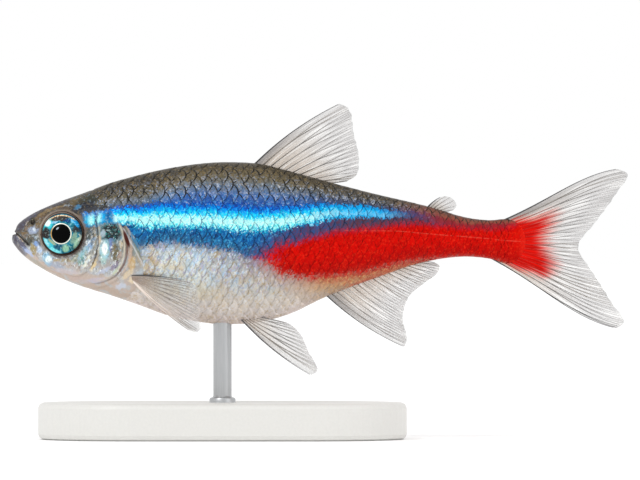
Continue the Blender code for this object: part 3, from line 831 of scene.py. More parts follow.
HEAD_PATCHES = (
    # Snout and nape
    Patch(0.90, 1.40, 1.40, 0.34, 38, "4a4756", 0.90),
    Patch(2.60, 2.30, 1.40, 0.22, 22, "3c3841", 0.85),
    Patch(0.50, 0.90, 0.52, 0.30, 40, "4c4752", 0.85),
    Patch(1.85, 1.45, 0.50, 0.22, 35, "64503c", 0.70),
    Patch(2.10, 1.78, 0.70, 0.11, 36, "8a744e", 0.50),
    Patch(2.90, 2.10, 0.70, 0.08, 16, "8f7856", 0.60),
    Patch(4.30, 2.52, 0.60, 0.25, 20, "6e5d3c", 0.60),
    Patch(5.30, 2.56, 1.20, 0.50, 14, "2e3228", 0.85),
    Patch(5.20, 2.12, 1.40, 0.40, 8, "1a1f2a", 0.98),
    Patch(4.30, 2.10, 0.28, 0.12, 30, "3f7ca4", 0.75),
    Patch(3.60, 2.25, 0.24, 0.06, 10, "9aa8b4", 0.55),
    Patch(6.50, 2.64, 1.10, 0.34, 13, "46463c", 0.92),
    # Before the eye
    Patch(1.42, 0.66, 0.38, 0.26, 10, "a3b2cc", 0.80),
    Patch(1.50, 0.68, 0.12, 0.10, 0, "d8e6f4", 0.80),
    Patch(0.80, 0.36, 0.20, 0.22, 35, "846c4c", 0.70),
    Patch(1.05, 0.80, 0.20, 0.12, 40, "8c7a6c", 0.55),
    # The nostril: its dark inside is partly painted shade in the pit, and the small pale spot in it is a
    # painted highlight
    Patch(1.36, 1.20, 0.22, 0.24, 0, "3a392f", 0.95),
    Patch(1.41, 1.25, 0.06, 0.08, 0, "b4ab92", 0.90),
    Patch(1.70, 1.04, 0.14, 0.40, -20, "7d6a4c", 0.70),
    Patch(1.05, 0.27, 0.24, 0.14, 0, "746654", 0.70),
    Patch(1.36, 0.00, 0.32, 0.16, -30, "625f55", 0.65),
    Patch(1.12, -0.10, 0.24, 0.24, 0, "484840", 0.85),
    Patch(1.22, 0.16, 0.50, 0.05, -28, "4a443c", 0.70),
    Patch(0.88, 0.00, 0.52, 0.08, -52, "3f3830", 0.80),
    Patch(1.40, -0.60, 0.12, 0.42, 14, "a08c50", 0.80),
    Patch(1.62, -0.26, 0.17, 0.18, 0, "84a8e0", 0.85),
    Patch(1.82, -0.60, 0.16, 0.26, 12, "bcd2f0", 0.85),
    Patch(1.02, 1.12, 0.06, 0.20, -40, "bdb4ae", 0.70),
    # Lips and lower jaw
    Patch(0.14, 0.06, 0.36, 0.40, -15, "3c3844", 0.95),
    Patch(0.50, -0.50, 0.75, 0.20, -48, "57545e", 0.85),
    Patch(0.84, -0.50, 0.46, 0.13, -46, "7f90b4", 0.85),
    Patch(1.15, -0.82, 0.36, 0.11, -44, "b4c2e2", 0.85),
    Patch(0.78, -0.76, 0.36, 0.08, -46, "8f929c", 0.60),
    Patch(0.58, -0.14, 0.56, 0.13, -45, "565364", 0.90),
    Patch(0.52, 0.14, 0.34, 0.07, -44, "d9c4ac", 0.80),
    Patch(1.60, -1.45, 0.80, 0.14, -36, "a9a294", 0.70),
    # Under the eye
    Patch(2.36, -1.20, 0.32, 0.50, 10, "94c4de", 0.90),
    Patch(2.42, -1.26, 0.20, 0.26, 0, "f0fcfc", 0.90),
    Patch(2.90, -1.62, 0.60, 0.20, -20, "98a6bc", 0.70),
    Patch(3.60, -2.05, 0.90, 0.18, -8, "c2bcc4", 0.60),
    Patch(3.50, -1.30, 0.80, 0.12, 0, "a08b58", 0.65),
    Patch(4.35, -1.10, 0.50, 0.30, 40, "8a9c8c", 0.55),
    Patch(5.10, -0.35, 0.20, 0.60, -34, "88a8cc", 0.95),
    Patch(5.30, -0.02, 0.18, 0.34, -20, "5d6c74", 0.70),
    Patch(4.70, -0.85, 0.20, 0.50, -34, "8fbcc6", 0.85),
    Patch(4.62, -1.30, 0.20, 0.40, -30, "6c9c92", 0.70),
    Patch(4.90, -1.40, 0.14, 0.50, -30, "e6e8d8", 0.80),
    Patch(5.22, 0.32, 0.20, 0.20, 0, "9c8a70", 0.60),
    Patch(4.98, 0.36, 0.42, 0.38, 0, "424b4a", 0.85),
    Patch(5.36, -1.62, 0.13, 0.42, -20, "e2ca96", 0.80),
    # Gill cover
    Patch(6.46, 0.56, 0.90, 0.88, 0, "86aab4", 0.65),
    SPECKLED_SPOT,
    Patch(5.98, 0.42, 0.19, 0.24, 0, "b0c6d2", 0.75),
    Patch(5.75, 0.02, 0.16, 0.30, 0, "cdb490", 0.65),
    Patch(6.35, -0.10, 0.40, 0.14, 20, "6c86ac", 0.80),
    Patch(6.10, -0.62, 0.36, 0.64, -6, "94c6d0", 0.90),
    Patch(6.08, -0.60, 0.20, 0.40, -4, "f6fcf8", 0.92),
    Patch(5.98, -1.25, 0.22, 0.40, 0, "a8ccc8", 0.80),
    Patch(6.52, -0.45, 0.13, 0.42, 8, "7084c0", 0.80),
    Patch(6.78, -0.90, 0.26, 0.65, 8, "695e3c", 0.82),
    Patch(7.16, -0.28, 0.12, 0.34, 6, "d2c2a4", 0.70),
    Patch(7.06, -0.95, 0.16, 0.30, 0, "b09a90", 0.70),
    Patch(6.05, -2.00, 0.50, 0.16, 28, "b8c2d8", 0.70),
    Patch(6.70, -1.66, 0.40, 0.16, 45, "857c94", 0.80),
    Patch(6.85, -1.95, 0.40, 0.10, 48, "b8d2b4", 0.70),
    # Behind and below it
    Patch(7.70, -1.00, 0.16, 0.60, 4, "b89c8c", 0.55),
    Patch(7.84, -1.52, 0.26, 0.46, -8, "d0a860", 0.60),
    Patch(7.60, -2.20, 0.50, 0.18, 40, "dcc8a6", 0.75),
    Patch(7.96, -0.06, 0.19, 0.78, 28, "33759c", 0.90),
    Patch(8.16, -0.75, 0.14, 0.50, 22, "8a9a94", 0.75),
    Patch(8.34, -1.30, 0.14, 0.56, 20, "ac9878", 0.55),
    Patch(7.10, -3.00, 0.34, 0.20, 10, "c9d2e4", 0.60),
    Patch(5.50, -2.62, 0.60, 0.18, 5, "beb8cc", 0.55),
    Patch(4.30, -2.55, 0.70, 0.20, -10, "c8b4ae", 0.50),
    Patch(7.90, -2.62, 0.30, 0.20, 0, "ecd9b8", 0.75),
)


def mottle(mat, colour, chance, share, code, strength=1.0, zone=1.0):
    """Tints the share of the flecks where a random chance, from 0 to 1, is highest."""
    mask = mat.step(chance, 1 - share - 0.10, 1 - share + 0.10)
    return mat.mix(mask * strength * zone, colour, code)


def fleck_chances(mat, point, size, tall=1.0, tilt=90.0):
    """Six random values from 0 to 1 for every fleck of colour, `size` wide and `tall` times as long."""
    wobbled = mat.vector("ADD", point, mat.drift(point, 9.0, 2.0, (0.22, 0.22, 0.22)))
    turned = mat.node(
        "ShaderNodeMapping", {"vector_type": "TEXTURE"}, Vector=wobbled,
        Rotation=(0.0, -math.radians(tilt), 0.0), Scale=(size * tall, size, size),
    )
    cell = mat.split(mat.cells(turned, 1.0))
    more = mat.node("ShaderNodeTexWhiteNoise", out="Color", Vector=mat.join(*cell))
    return (*cell, *mat.split(more))


def paint_back(mat, tints, x, along, height, flecks, lit):
    """The back: blue low down, brown and grey above, and rusty on the tail stalk."""
    _, luck, chance, spark, odds, fate = flecks
    at_front = mat.step(x, 12.0, 8.0)
    colour = mat.ramp(
        height + at_front * mat.step(height, 0.0, 0.1) * 0.30,
        (0.00, "0a3a92"),
        (0.08, "124692"),
        (0.22, "2c5696"),
        (0.36, "506a8c"),
        (0.50, "5e6a74"),
        (0.64, "635b46"),
        (0.82, tints.back),
        (0.93, "3f3829"),
        (1.00, "39342a"),
    )
    colour = mat.mix(mat.step(x, 16.8, 22.0) * 0.74, colour, "3a3630")
    nape = mat.step(x, 10.4, 7.8) * mat.step(height, 0.75, 0.50)
    colour = mat.mix(nape * 0.50, colour, "4c4a3a")
    low_back = mat.step(height, 0.62, 0.05) * lit * (1 - at_front * 0.8) * mat.step(x, 23.5, 16.5)
    mid_back = mat.step(height, 0.98, 0.45) * mat.step(height, 0.06, 0.24)
    high_back = mat.step(height, 0.15, 0.45) * mat.step(height, 1.0, 0.86)
    colour = mottle(mat, colour, luck, 0.35, "4478bc", 0.75, low_back)
    colour = mottle(mat, colour, chance, 0.20, "5ba6dc", 0.60, low_back)
    colour = mottle(mat, colour, spark, 0.26, "a2aec8", 0.70, mid_back * lit)
    colour = mottle(mat, colour, odds, 0.22, "83704a", 0.60, high_back)
    colour = mottle(mat, colour, odds, 0.20, "6a5c40", 0.45, mat.step(height, 0.86, 1.0))
    colour = mottle(mat, colour, chance, 0.22, "26231d", 0.50, high_back)
    colour = mottle(mat, colour, fate, 0.05, "d3dde6", 0.70, mat.step(height, 0.9, 0.4) * lit)
    rusty = mat.ramp(height, (0.0, "842028"), (0.45, "864634"), (1.0, "563c32"))
    return mat.mix(mat.step(along, 24.0, 28.5), colour, rusty)


def paint_flank(mat, tints, x, z, depth, point, streaks):
    """The silver flank with blue, violet and gold streaks, and a rosy shade before the red."""
    flank = mat.ramp(
        depth,
        (0.00, "dfcfcb"),
        (0.14, tints.belly),
        (0.45, "c6c0b6"),
        (0.70, "b2b1ae"),
        (0.88, "9099a2"),
        (1.00, "60788f"),
    )
    high_flank = mat.step(depth, 0.25, 0.75)
    front = mat.step(depth, 0.2, 0.5) * mat.step(depth, 0.98, 0.80)
    shining = mat.step(x, 8.4, 10.0) * mat.step(x, 13.8, 11.6) * front
    flank = mat.mix(shining * 0.70, flank, "e6efe8")
    flank = mat.mix(mat.step(x, 10.0, 8.6) * front * 0.80, flank, "b8985e")
    flank = mottle(mat, flank, streaks[0], 0.26, "94b8dc", 0.75, high_flank)
    flank = mottle(mat, flank, streaks[1], 0.20, "a395c4", 0.60, high_flank)
    flank = mottle(mat, flank, streaks[2], 0.20, "b99f6c", 0.50)
    flank = mottle(mat, flank, streaks[3], 0.20, "d9e2e6", 0.65, 0.35 + high_flank * 0.65)
    flank = mottle(mat, flank, streaks[4], 0.16, "6f695f", 0.50, 0.3 + high_flank * 0.7)
    cloud = mat.split(mat.noise(point, 1.1, 2.0, out=1))
    flank = mat.mix(mat.step(cloud[0], 0.50, 0.66) * 0.40 * high_flank, flank, "a6cbe2")
    golden = 0.20 + mat.step(x, 14.0, 10.0) * 0.30 * mat.step(depth, 0.2, 0.5)
    flank = mat.mix(mat.step(cloud[1], 0.50, 0.66) * golden, flank, "c9b284")
    above_red = z - mat.curve(x, RED_BOTTOM)
    rosy = mat.step(x, 14.4, 16.8) * mat.step(above_red, -0.75, 0.1)
    flank = mat.mix(rosy * 0.62, flank, "8c4a5c")
    warm = mat.step(x, 14.6, 17.2) * mat.step(above_red, -1.7, -0.4)
    return mat.mix(warm * 0.45, flank, "b4886c")


def paint_dark_band(mat, x, above_band, under_stripe, flecks, streaks):
    """The deep blue band under the stripe, which turns to violet dusk over the red."""
    dark = mat.mix(mat.step(above_band, 0.0, 0.9), "2b5c80", "045698")
    dark = mottle(mat, dark, streaks[0], 0.30, "1f86c0", 0.75)
    dark = mottle(mat, dark, streaks[1], 0.20, "0b2a58", 0.75)
    dark = mottle(mat, dark, flecks[3], 0.05, "5fbcdc", 0.70)
    dusk = mat.mix(mat.step(streaks[2], 0.3, 0.8), "503a5e", "2c4a80")
    late_dusk = mat.mix(mat.step(streaks[2], 0.3, 0.8), "553442", "363e5e")
    dusk = mat.mix(mat.step(x, 19.0, 23.0), dusk, late_dusk)
    return mat.mix(mat.step(x + under_stripe * 1.6, 16.2, 18.8), dark, dusk)


def paint_stripe(mat, tints, x, across, flecks):
    """The shining stripe: pale cyan in its middle, blue at its edges, and dim at its rear."""
    _, luck, chance, spark, _, _ = flecks
    stripe = mat.ramp(
        across,
        (0.00, "066094"),
        (0.10, "12a0cc"),
        (0.20, "66ecf0"),
        (0.33, "c6fff8"),
        (0.48, tints.stripe),
        (0.62, "18dcf8"),
        (0.79, tints.stripe_edge),
        (0.92, "006cd4"),
        (1.00, "003ca0"),
    )
    stripe = mottle(mat, stripe, spark, 0.10, "d5fffb", 0.70, mat.step(across, 0.95, 0.30))
    stripe = mottle(mat, stripe, chance, 0.14, "0b84cc", 0.40)
    stripe = mat.mix(mat.step(x, 17.5, 23.0) * 0.78, stripe, "00a2e4")
    return mat.mix(mat.step(x, 23.3, 26.4), stripe, mat.mix(luck, "603048", "3a4c80"))


def paint_under_red(mat, x, under, above_belly, streaks):
    """The rusty scales between the red and the belly's edge, red again at the anal fin."""
    colour = mat.ramp(under, (0.0, "ab3a24"), (0.30, "b87c58"), (0.75, "b89a7c"), (1.0, "b4a292"))
    colour = mottle(mat, colour, streaks[2], 0.30, "c0562f", 0.55, mat.step(x, 20.0, 22.0))
    colour = mottle(mat, colour, streaks[3], 0.20, "dcae72", 0.60)
    fin_base = mat.step(above_belly, 0.26, 0.10) * mat.step(x, 21.0, 23.0)
    fin_base = fin_base * (1 - mat.step(x, 23.0, 25.0) * 0.5)
    return mat.mix(fin_base * 0.75, colour, "c44a36")


def paint_red(mat, tints, share, off_line, broken, flecks, streaks):
    """The red: deeper at both its edges, with a thin pale line along the flank."""
    red = mat.ramp(
        share, (0.00, "b22a20"), (0.20, "b40c08"), (0.50, tints.red), (0.82, "cb0c05"), (1.00, "a81a2c")
    )
    red = mottle(mat, red, flecks[3], 0.16, "e03018", 0.55)
    red = mottle(mat, red, streaks[1], 0.26, "940505", 0.45)
    line = mat.step(mat.math("ABSOLUTE", off_line), 0.045, 0.015)
    return mat.mix(line * mat.step(broken, 0.38, 0.55) * 0.42, red, "e0604c")


def draw_scale_edges(mat, colour, on_scale, point, height, depth, above_band, zones):
    """Draws a dark line along each scale's hind edge, worn away in places."""
    across, run, _ = on_scale
    bright, in_band, in_red = zones
    worn = 0.28 + mat.step(mat.noise(point, 2.6, 2.0), 0.38, 0.62) * 0.95
    on_flank = mat.step(depth, 1.02, 0.90) * (1 - in_red)
    net = mat.step(height, -0.1, 0.3) * 0.95 + bright * 0.55 + in_band * 0.62
    net = net * (1 - in_red) + on_flank * 0.26 * mat.step(depth, 0.12, 0.60)
    edge = mat.step(run + across * across * 0.07 + mat.step(height, 0.0, 0.3) * 0.02, 0.895, 0.965)
    shade = mat.mix(mat.step(above_band, -0.1, 0.2), "83704f", "1b1a18")
    shade = mat.mix(in_band, shade, "061c38")
    shade = mat.mix(bright, shade, "05488c")
    return mat.mix(edge * net * worn, colour, shade)


def body_colours(mat, tints, on_scale=None, tone=None):
    """The markings of the body: their colour, how metallic and rough they are, and their gloss."""
    along, _, up, point = mat.beside_fish()
    sway_x, _, sway_z = mat.split(mat.noise(point, 6.0, 3.0, out=1))
    flecks = fleck_chances(mat, point, 0.085)
    streaks = fleck_chances(mat, point, 0.075, 2.6, 62.0)
    jump, spark = flecks[0], flecks[3]
    x = along + (sway_x - 0.5) * 0.6
    z = up + (sway_z - 0.5) * 0.45 + (jump - 0.5) * 0.12
    under_half = 0.5
    if tone is not None:
        z = z + tone * 0.06
        under_half = mat.step(on_scale[0], 0.45, -0.40)
    back, belly = mat.curve(x, BACK_LINE), mat.curve(x, BELLY_LINE)
    top, bottom = mat.curve(x, STRIPE_TOP), mat.curve(x, STRIPE_BOTTOM)
    band = mat.curve(x, DARK_BAND_BOTTOM)

    height = (z - top) / (back - top)
    colour = paint_back(mat, tints, x, along, height, flecks, under_half * 0.75 + 0.25)

    depth = (z - belly) / (band - belly)
    flank = paint_flank(mat, tints, x, z, depth, point, streaks)
    fray = z - band + (streaks[3] - 0.5) * 0.34
    colour = mat.mix(mat.step(fray, 0.22, -0.22), colour, flank)

    dark = paint_dark_band(mat, x, z - band, bottom - z, flecks, streaks)
    in_band = mat.step(fray, -0.26, 0.20) * mat.step(z - bottom, 0.12, -0.08)
    colour = mat.mix(in_band * mat.step(along, 29.5, 26.5), colour, dark)

    across = (z - bottom) / (top - bottom) + (jump - 0.5) * 0.15
    stripe = paint_stripe(mat, tints, x, across, flecks)
    in_stripe = mat.step(across, -0.05, 0.06) * mat.step(across, 1.08, 0.94)
    bright = in_stripe * mat.step(x, 28.0, 25.4)
    colour = mat.mix(bright, colour, stripe)

    red_top, red_bottom = mat.curve(x, RED_TOP), mat.curve(x, RED_BOTTOM)
    under = red_bottom - z
    under_red = paint_under_red(mat, x, under, z - belly, streaks)
    below = mat.step(under, -0.25, 0.05) * mat.step(x, 18.0, 20.5) * mat.step(z - red_top, 0.3, -0.3)
    colour = mat.mix(below * 0.92, colour, under_red)
    ragged = (streaks[0] - 0.5) * 0.7 * mat.step(x, 22.0, 16.0) + (streaks[1] - 0.5) * 0.25
    in_red = mat.step(z - red_top + ragged, 0.24, -0.34) * mat.step(z - red_bottom - ragged, -0.16, 0.26)
    in_red = in_red * mat.step(x + (streaks[0] - 0.5) * 1.6 + (spark - 0.5) * 0.8, 15.1, 17.3)
    share = (z - red_bottom) / (red_top - red_bottom)
    off_line = up - mat.curve(along, LATERAL_LINE)
    red = paint_red(mat, tints, share, off_line, sway_x, flecks, streaks)
    red = mat.mix(mat.step(along, 32.6, 33.9) * 0.8, red, "dc200c")
    colour = mat.mix(in_red, colour, red)

    value = 0.90 + mat.noise(point, 9.0, 3.0) * 0.20
    if on_scale is not None:
        zones = bright, in_band, in_red
        colour = draw_scale_edges(mat, colour, on_scale, point, height, depth, z - band, zones)
        run = on_scale[1]
        value = value * (0.88 + run * 0.15 + in_red * (0.11 - run * 0.14)) + tone * 0.06
    colour = mat.brighten(colour, value)
    silver = mat.step(height, 0.6, 0.0) * 0.30 + bright * 0.50 + in_band * 0.20 + in_red * 0.60
    rough = 0.46 - bright * 0.12 + (jump - 0.5) * 0.16
    return colour, silver, rough, 0.12 - in_red * 0.10


def paint_head_stripe(mat, along, across, flecks):
    """The front of the stripe, broken into bright and dark blocks by the gill cover's bones."""
    _, luck, _, spark, _, _ = flecks
    blocks = mat.ramp(
        (along - 4.5) / 3.2,
        (0.00, "0a80c0"),
        (0.13, "28a8d0"),
        (0.22, "bcfff8"),
        (0.27, "7ae6ee"),
        (0.31, "0c4e78"),
        (0.37, "b6fff8"),
        (0.46, "14a4e0"),
        (0.56, "08548c"),
        (0.64, "0886c0"),
        (0.73, "ccfff8"),
        (0.80, "24b8e0"),
        (0.86, "109cd4"),
        (1.00, "b6fff8"),
    )
    blocks = mat.mix(mat.step(across, 0.58, 1.0) * 0.9, blocks, "0660b4")
    blocks = mat.mix(mat.step(across, 0.25, 0.02), blocks, "0c80b4")
    blocks = mottle(mat, blocks, spark, 0.06, "b4f4fb", 0.5)
    return mottle(mat, blocks, luck, 0.14, "0a6ab0", 0.4)


def speckle_head(mat, colour, x, height, spot, point, flecks):
    """Streaks of silver and shadow on the cheek, and fine specks on the crown and the dark spot."""
    jump, luck, chance, spark, odds, fate = flecks
    streaks = fleck_chances(mat, point, 0.085, 2.2, 68.0)
    silver = mat.step(height, 0.66, 0.50) * mat.step(height, 0.10, 0.25)
    zone = silver * (1 - spot) * (1 - mat.step(x, 6.9, 7.5) * 0.7) * (0.3 + mat.step(x, 1.2, 2.0) * 0.7)
    colour = mottle(mat, colour, streaks[0], 0.18, "a4c6ea", 0.34, zone)
    colour = mottle(mat, colour, streaks[1], 0.15, "f4faf8", 0.60, zone)
    colour = mottle(mat, colour, streaks[2], 0.14, "b09a70", 0.34, zone)
    colour = mottle(mat, colour, streaks[3], 0.18, "45464a", 0.44, zone)
    colour = mottle(mat, colour, odds, 0.14, "8c7b57", 0.32, mat.step(height, 0.5, 0.7))
    colour = mottle(mat, colour, fate, 0.14, "2c2b30", 0.50, mat.step(height, 0.5, 0.7))
    colour = mottle(mat, colour, spark, 0.06, "8ba2b8", 0.50, mat.step(height, 0.5, 0.6))
    colour = mottle(mat, colour, jump, 0.14, "2f8a84", 0.75, spot)
    colour = mottle(mat, colour, chance, 0.08, "a9c2c4", 0.70, spot)
    return mottle(mat, colour, luck, 0.10, "5d4a2c", 0.70, spot), silver


def draw_head_lines(mat, colour, point, swayed):
    """Draws the bones' edges as thin lines, which waver less than the patches do. The dark lines lie in the
    grooves there and are partly painted shade.
    """
    settings = {"data_type": "VECTOR"}
    smooth = mat.node(
        "ShaderNodeMix", settings, out="Result_Vector", Factor_Float=0.3, A_Vector=point, B_Vector=swayed
    )
    x, _, z = mat.split(smooth)
    for line in HEAD_LINES:
        lowest, highest = line.points[0][0], line.points[-1][0]
        away = mat.math("ABSOLUTE", x - mat.curve(z, line.points) - line.shift)
        ends = mat.step(z, lowest + 0.1, lowest + 0.5)
        ends = ends * mat.step(z, highest, highest - 0.3)
        shade = mat.mix(mat.step(z, 0.9, 1.2), line.code, line.upper_code)
        colour = mat.mix(mat.step(away, line.width, line.width * 0.3) * ends * line.strength, colour, shade)
    return colour


def head_colours(mat, tints):
    """The markings of the bare head: a shaded ground, the patches that lie on it, painted shade in its
    grooves and a painted highlight on its ridges.
    """
    along, _, _, point = mat.beside_fish()
    swayed = mat.vector("ADD", point, mat.drift(point, 3.6, 4.0, (0.34, 0.0, 0.34)))
    swayed = mat.vector("MULTIPLY", swayed, (1.0, 0.0, 1.0))
    x, _, z = mat.split(swayed)
    flecks = fleck_chances(mat, point, 0.085)
    jump = flecks[0]
    back, belly = mat.curve(x, BACK_LINE), mat.curve(x, BELLY_LINE)
    height = (z - belly) / (back - belly)
    colour = mat.ramp(
        height,
        (0.00, "bba99b"),
        (0.12, "c2b1a5"),
        (0.26, "a7a3a0"),
        (0.42, "7e827c"),
        (0.56, "60605a"),
        (0.68, "5c5347"),
        (0.82, tints.crown),
        (0.93, "4b4439"),
        (1.00, "39352e"),
    )
    clouded = mat.step(mat.noise(point, 1.7, 2.0), 0.50, 0.62) * mat.step(height, 0.62, 0.45)
    colour = mat.mix(clouded * 0.4, colour, "b3c6d2")
    top, bottom = mat.curve(x, STRIPE_TOP), mat.curve(x, STRIPE_BOTTOM)
    across = (z - bottom) / (top - bottom) + (jump - 0.5) * 0.14
    blocks = paint_head_stripe(mat, along, across, flecks)
    for patch in HEAD_PATCHES:
        colour = mat.mix(mat.oval(swayed, patch) * patch.strength, colour, patch.code)
    in_stripe = mat.step(across, -0.10, 0.08) * mat.step(across, 1.12, 0.94) * mat.step(x, 4.50, 4.85)
    colour = mat.mix(in_stripe, colour, blocks)
    spot = mat.oval(swayed, SPECKLED_SPOT)
    colour, silver = speckle_head(mat, colour, x, height, spot, point, flecks)

    ring = mat.length(mat.vector("SUBTRACT", swayed, (EYE[0], 0.0, EYE[1])))
    orbit = mat.step(ring, ORBIT_RADIUS + 0.26, ORBIT_RADIUS + 0.10)
    fold = mat.mix(mat.step(z - EYE[1], -0.9, 0.9), "4a3a34", "77695f")
    fold = mat.mix(mat.step(x - EYE[0], -0.6, -1.3) * 0.6, fold, "a29484")
    fold = mat.mix(mat.step(ring, ORBIT_RADIUS + 0.00, ORBIT_RADIUS + 0.04), "4a3b34", fold)
    colour = mat.mix(orbit * 0.88, colour, fold)
    # Painted shade darkens the skin in the relief's grooves, most of all near the snout
    relief = mat.attribute("relief", out="Fac")
    groove_shade = mat.mix(mat.step(x, 2.2, 3.2), "342c29", "5e4438")
    colour = mat.mix(mat.step(relief, -0.016, -0.080) * (0.50 + mat.step(x, 2.2, 1.2) * 0.3), colour, groove_shade)
    # A painted highlight lightens the relief's ridges
    pale = mat.step(relief, 0.016, 0.050) * (1 - orbit) * mat.step(x, 1.0, 2.5) * (1 - in_stripe)
    colour = mat.mix(pale * 0.40, colour, "ccbda6")
    colour = draw_head_lines(mat, colour, point, swayed)
    # The gill opening, its red darkened by painted shade
    colour = mat.mix(mat.oval(point, GILL_SLIT), colour, GILL_SLIT.code)
    colour = mat.brighten(colour, 0.88 + mat.noise(point, 8.0, 3.0) * 0.24)
    return colour, silver * 0.30 + in_stripe * 0.3, 0.40 + (jump - 0.5) * 0.16, 0.10


def skin_material(name, colours, tints):
    """Skin with these markings and a fine grain."""
    mat = Finish(name, Specular_IOR_Level=0.15, Coat_Roughness=0.2, IOR=1.4)
    colour, silver, rough, gloss = colours(mat, tints)
    grain = mat.noise(mat.beside_fish()[3], 12.0, 3.0)
    normal = mat.bump(grain, 0.03 * MM, 0.5)
    return mat.feed(Base_Color=colour, Metallic=silver, Roughness=rough, Coat_Weight=gloss, Normal=normal)


def scale_material(tints):
    """The body's markings, with a dark line along each scale's hind edge."""
    mat = Finish("tetra_scale", Specular_IOR_Level=0.15, Coat_Roughness=0.2, IOR=1.4)
    on_scale = mat.split(mat.attribute("on_scale"))
    tone = mat.attribute("tone", out="Fac")
    colour, silver, rough, gloss = body_colours(mat, tints, on_scale, tone)
    fine = mat.cells(mat.beside_fish()[3], 9.0, out="Distance")
    normal = mat.bump(fine, 0.02 * MM, 0.6)
    return mat.feed(Base_Color=colour, Metallic=silver, Roughness=rough, Coat_Weight=gloss, Normal=normal)


def run_nodes(obj, group, values):
    """Runs a geometry node group on obj with these inputs, and returns the plain mesh."""
    modifier = obj.modifiers.new("nodes", "NODES")
    modifier.node_group = group
    for item in group.interface.items_tree:
        if item.item_type == "SOCKET" and item.in_out == "INPUT" and item.name in values:
            modifier[item.identifier] = values[item.name]
    bpy.context.view_layer.update()
    graph = bpy.context.evaluated_depsgraph_get()
    mesh = bpy.data.meshes.new_from_object(obj.evaluated_get(graph))
    obj.modifiers.remove(modifier)
    return mesh


def new_group(name, inputs):
    """A geometry node group with a Geometry input, these named inputs and a Geometry output."""
    group = bpy.data.node_groups.new(name, "GeometryNodeTree")
    group.interface.new_socket("Geometry", in_out="INPUT", socket_type="NodeSocketGeometry")
    for label, kind in inputs.items():
        group.interface.new_socket(label, in_out="INPUT", socket_type="NodeSocket" + kind)
    group.interface.new_socket("Geometry", in_out="OUTPUT", socket_type="NodeSocketGeometry")
    tree = Tree(group)
    start = group.nodes.new("NodeGroupInput")
    wires = {socket.name: Wire(tree, socket) for socket in start.outputs if socket.name}
    return group, tree, wires


def finish_group(tree, geometry, material):
    """Ends a group by realizing its instances and setting the material."""
    real = tree.node("GeometryNodeRealizeInstances", Geometry=geometry)
    done = tree.node("GeometryNodeSetMaterial", Geometry=real, Material=material)
    end = tree.tree.nodes.new("NodeGroupOutput")
    tree.tree.links.new(done.socket, end.inputs["Geometry"])


def scale_group():
    """Puts one thin scale with a rounded hind edge on every point of a mesh of roots."""
    inputs = {
        "Length": "Float", "Half Width": "Float", "Thickness": "Float", "Lift": "Float",
        "Crown": "Float", "Seed": "Int", "Material": "Material",
    }
    group, tree, wires = new_group("scale_coat", inputs)
    counts = dict(zip(("Vertices_X", "Vertices_Y", "Vertices_Z"), SCALE_GRID))
    slab = tree.node("GeometryNodeMeshCube", Size=(1.0, 1.0, 1.0), **counts)
    x, y, z = tree.split(tree.node("GeometryNodeInputPosition"))
    run = x + 0.5
    across = y * 2.0
    width = tree.math("ABSOLUTE", across)
    share = run * (1.0 - EDGE_ROUNDING * width**EDGE_POWER)
    height = wires["Lift"] * (share - SUNK_SHARE) - wires["Crown"] * width * width
    height = height + wires["Thickness"] * z
    shape = tree.join(share * wires["Length"], across * wires["Half Width"], height)
    marked = tree.node(
        "GeometryNodeStoreNamedAttribute", {"data_type": "FLOAT_VECTOR"},
        Geometry=slab, Name="on_scale", Value=tree.join(across, run, share),
    )
    scale = tree.node("GeometryNodeSetPosition", Geometry=marked, Position=shape)
    spread = tree.node("GeometryNodeInstanceOnPoints", Points=wires["Geometry"], Instance=scale)
    tone = tree.node(
        "FunctionNodeRandomValue", out="Value_001", Min_001=-1.0, Max_001=1.0, Seed=wires["Seed"]
    )
    toned = tree.node(
        "GeometryNodeStoreNamedAttribute", {"domain": "INSTANCE"}, Geometry=spread, Name="tone", Value=tone
    )
    finish_group(tree, toned, wires["Material"])
    return group


def scale_roots(field):
    """Column and row of every scale on one flank, staggered row by row."""
    roots = []
    rows = int(max(field.top.max(), field.bottom.max()) / field.row_height.min()) + 1
    columns = int(field.columns[-1]) + 1
    for row in range(-rows, rows + 1):
        for column in range(columns):
            at = column + 0.5 * (row % 2)
            along = float(field.along_of(at + 0.35))
            if along > SCALE_AREA_END - 0.25 or at > field.columns[-1] - 1:
                continue
            arc = row * float(field.height_of_row(along))
            top = float(np.interp(along, field.alongs, field.top))
            bottom = float(np.interp(along, field.alongs, field.bottom))
            if not FLANK_MARGIN - bottom < arc < top - FLANK_MARGIN:
                continue
            spot, _ = field.surface(np.array([along]), np.array([arc]))
            if behind_scale_front(along, spot[0, 2], soft=0.01) < 0.5:
                continue
            roots.append((at, row, 0.0))
    return roots


def coat_object(name, roots, group, sizes, material, seed):
    """Runs the scale group on these roots and returns the object, still in scale coordinates."""
    seeds = mesh_object(name, np.array(roots), [], smooth=False)
    values = {
        "Length": sizes.scale_length,
        "Half Width": sizes.scale_half_width,
        "Thickness": sizes.scale_thickness / MM,
        "Lift": sizes.scale_lift / MM,
        "Crown": sizes.scale_crown / MM,
        "Seed": seed,
        "Material": material,
    }
    mesh = run_nodes(seeds, group, values)
    bpy.data.objects.remove(seeds)
    return add_object(name, mesh)


def read_points(mesh):
    """The mesh's points as rows of three numbers."""
    points = np.empty(len(mesh.vertices) * 3, np.float32)
    mesh.vertices.foreach_get("co", points)
    return points.reshape(-1, 3).astype(float)


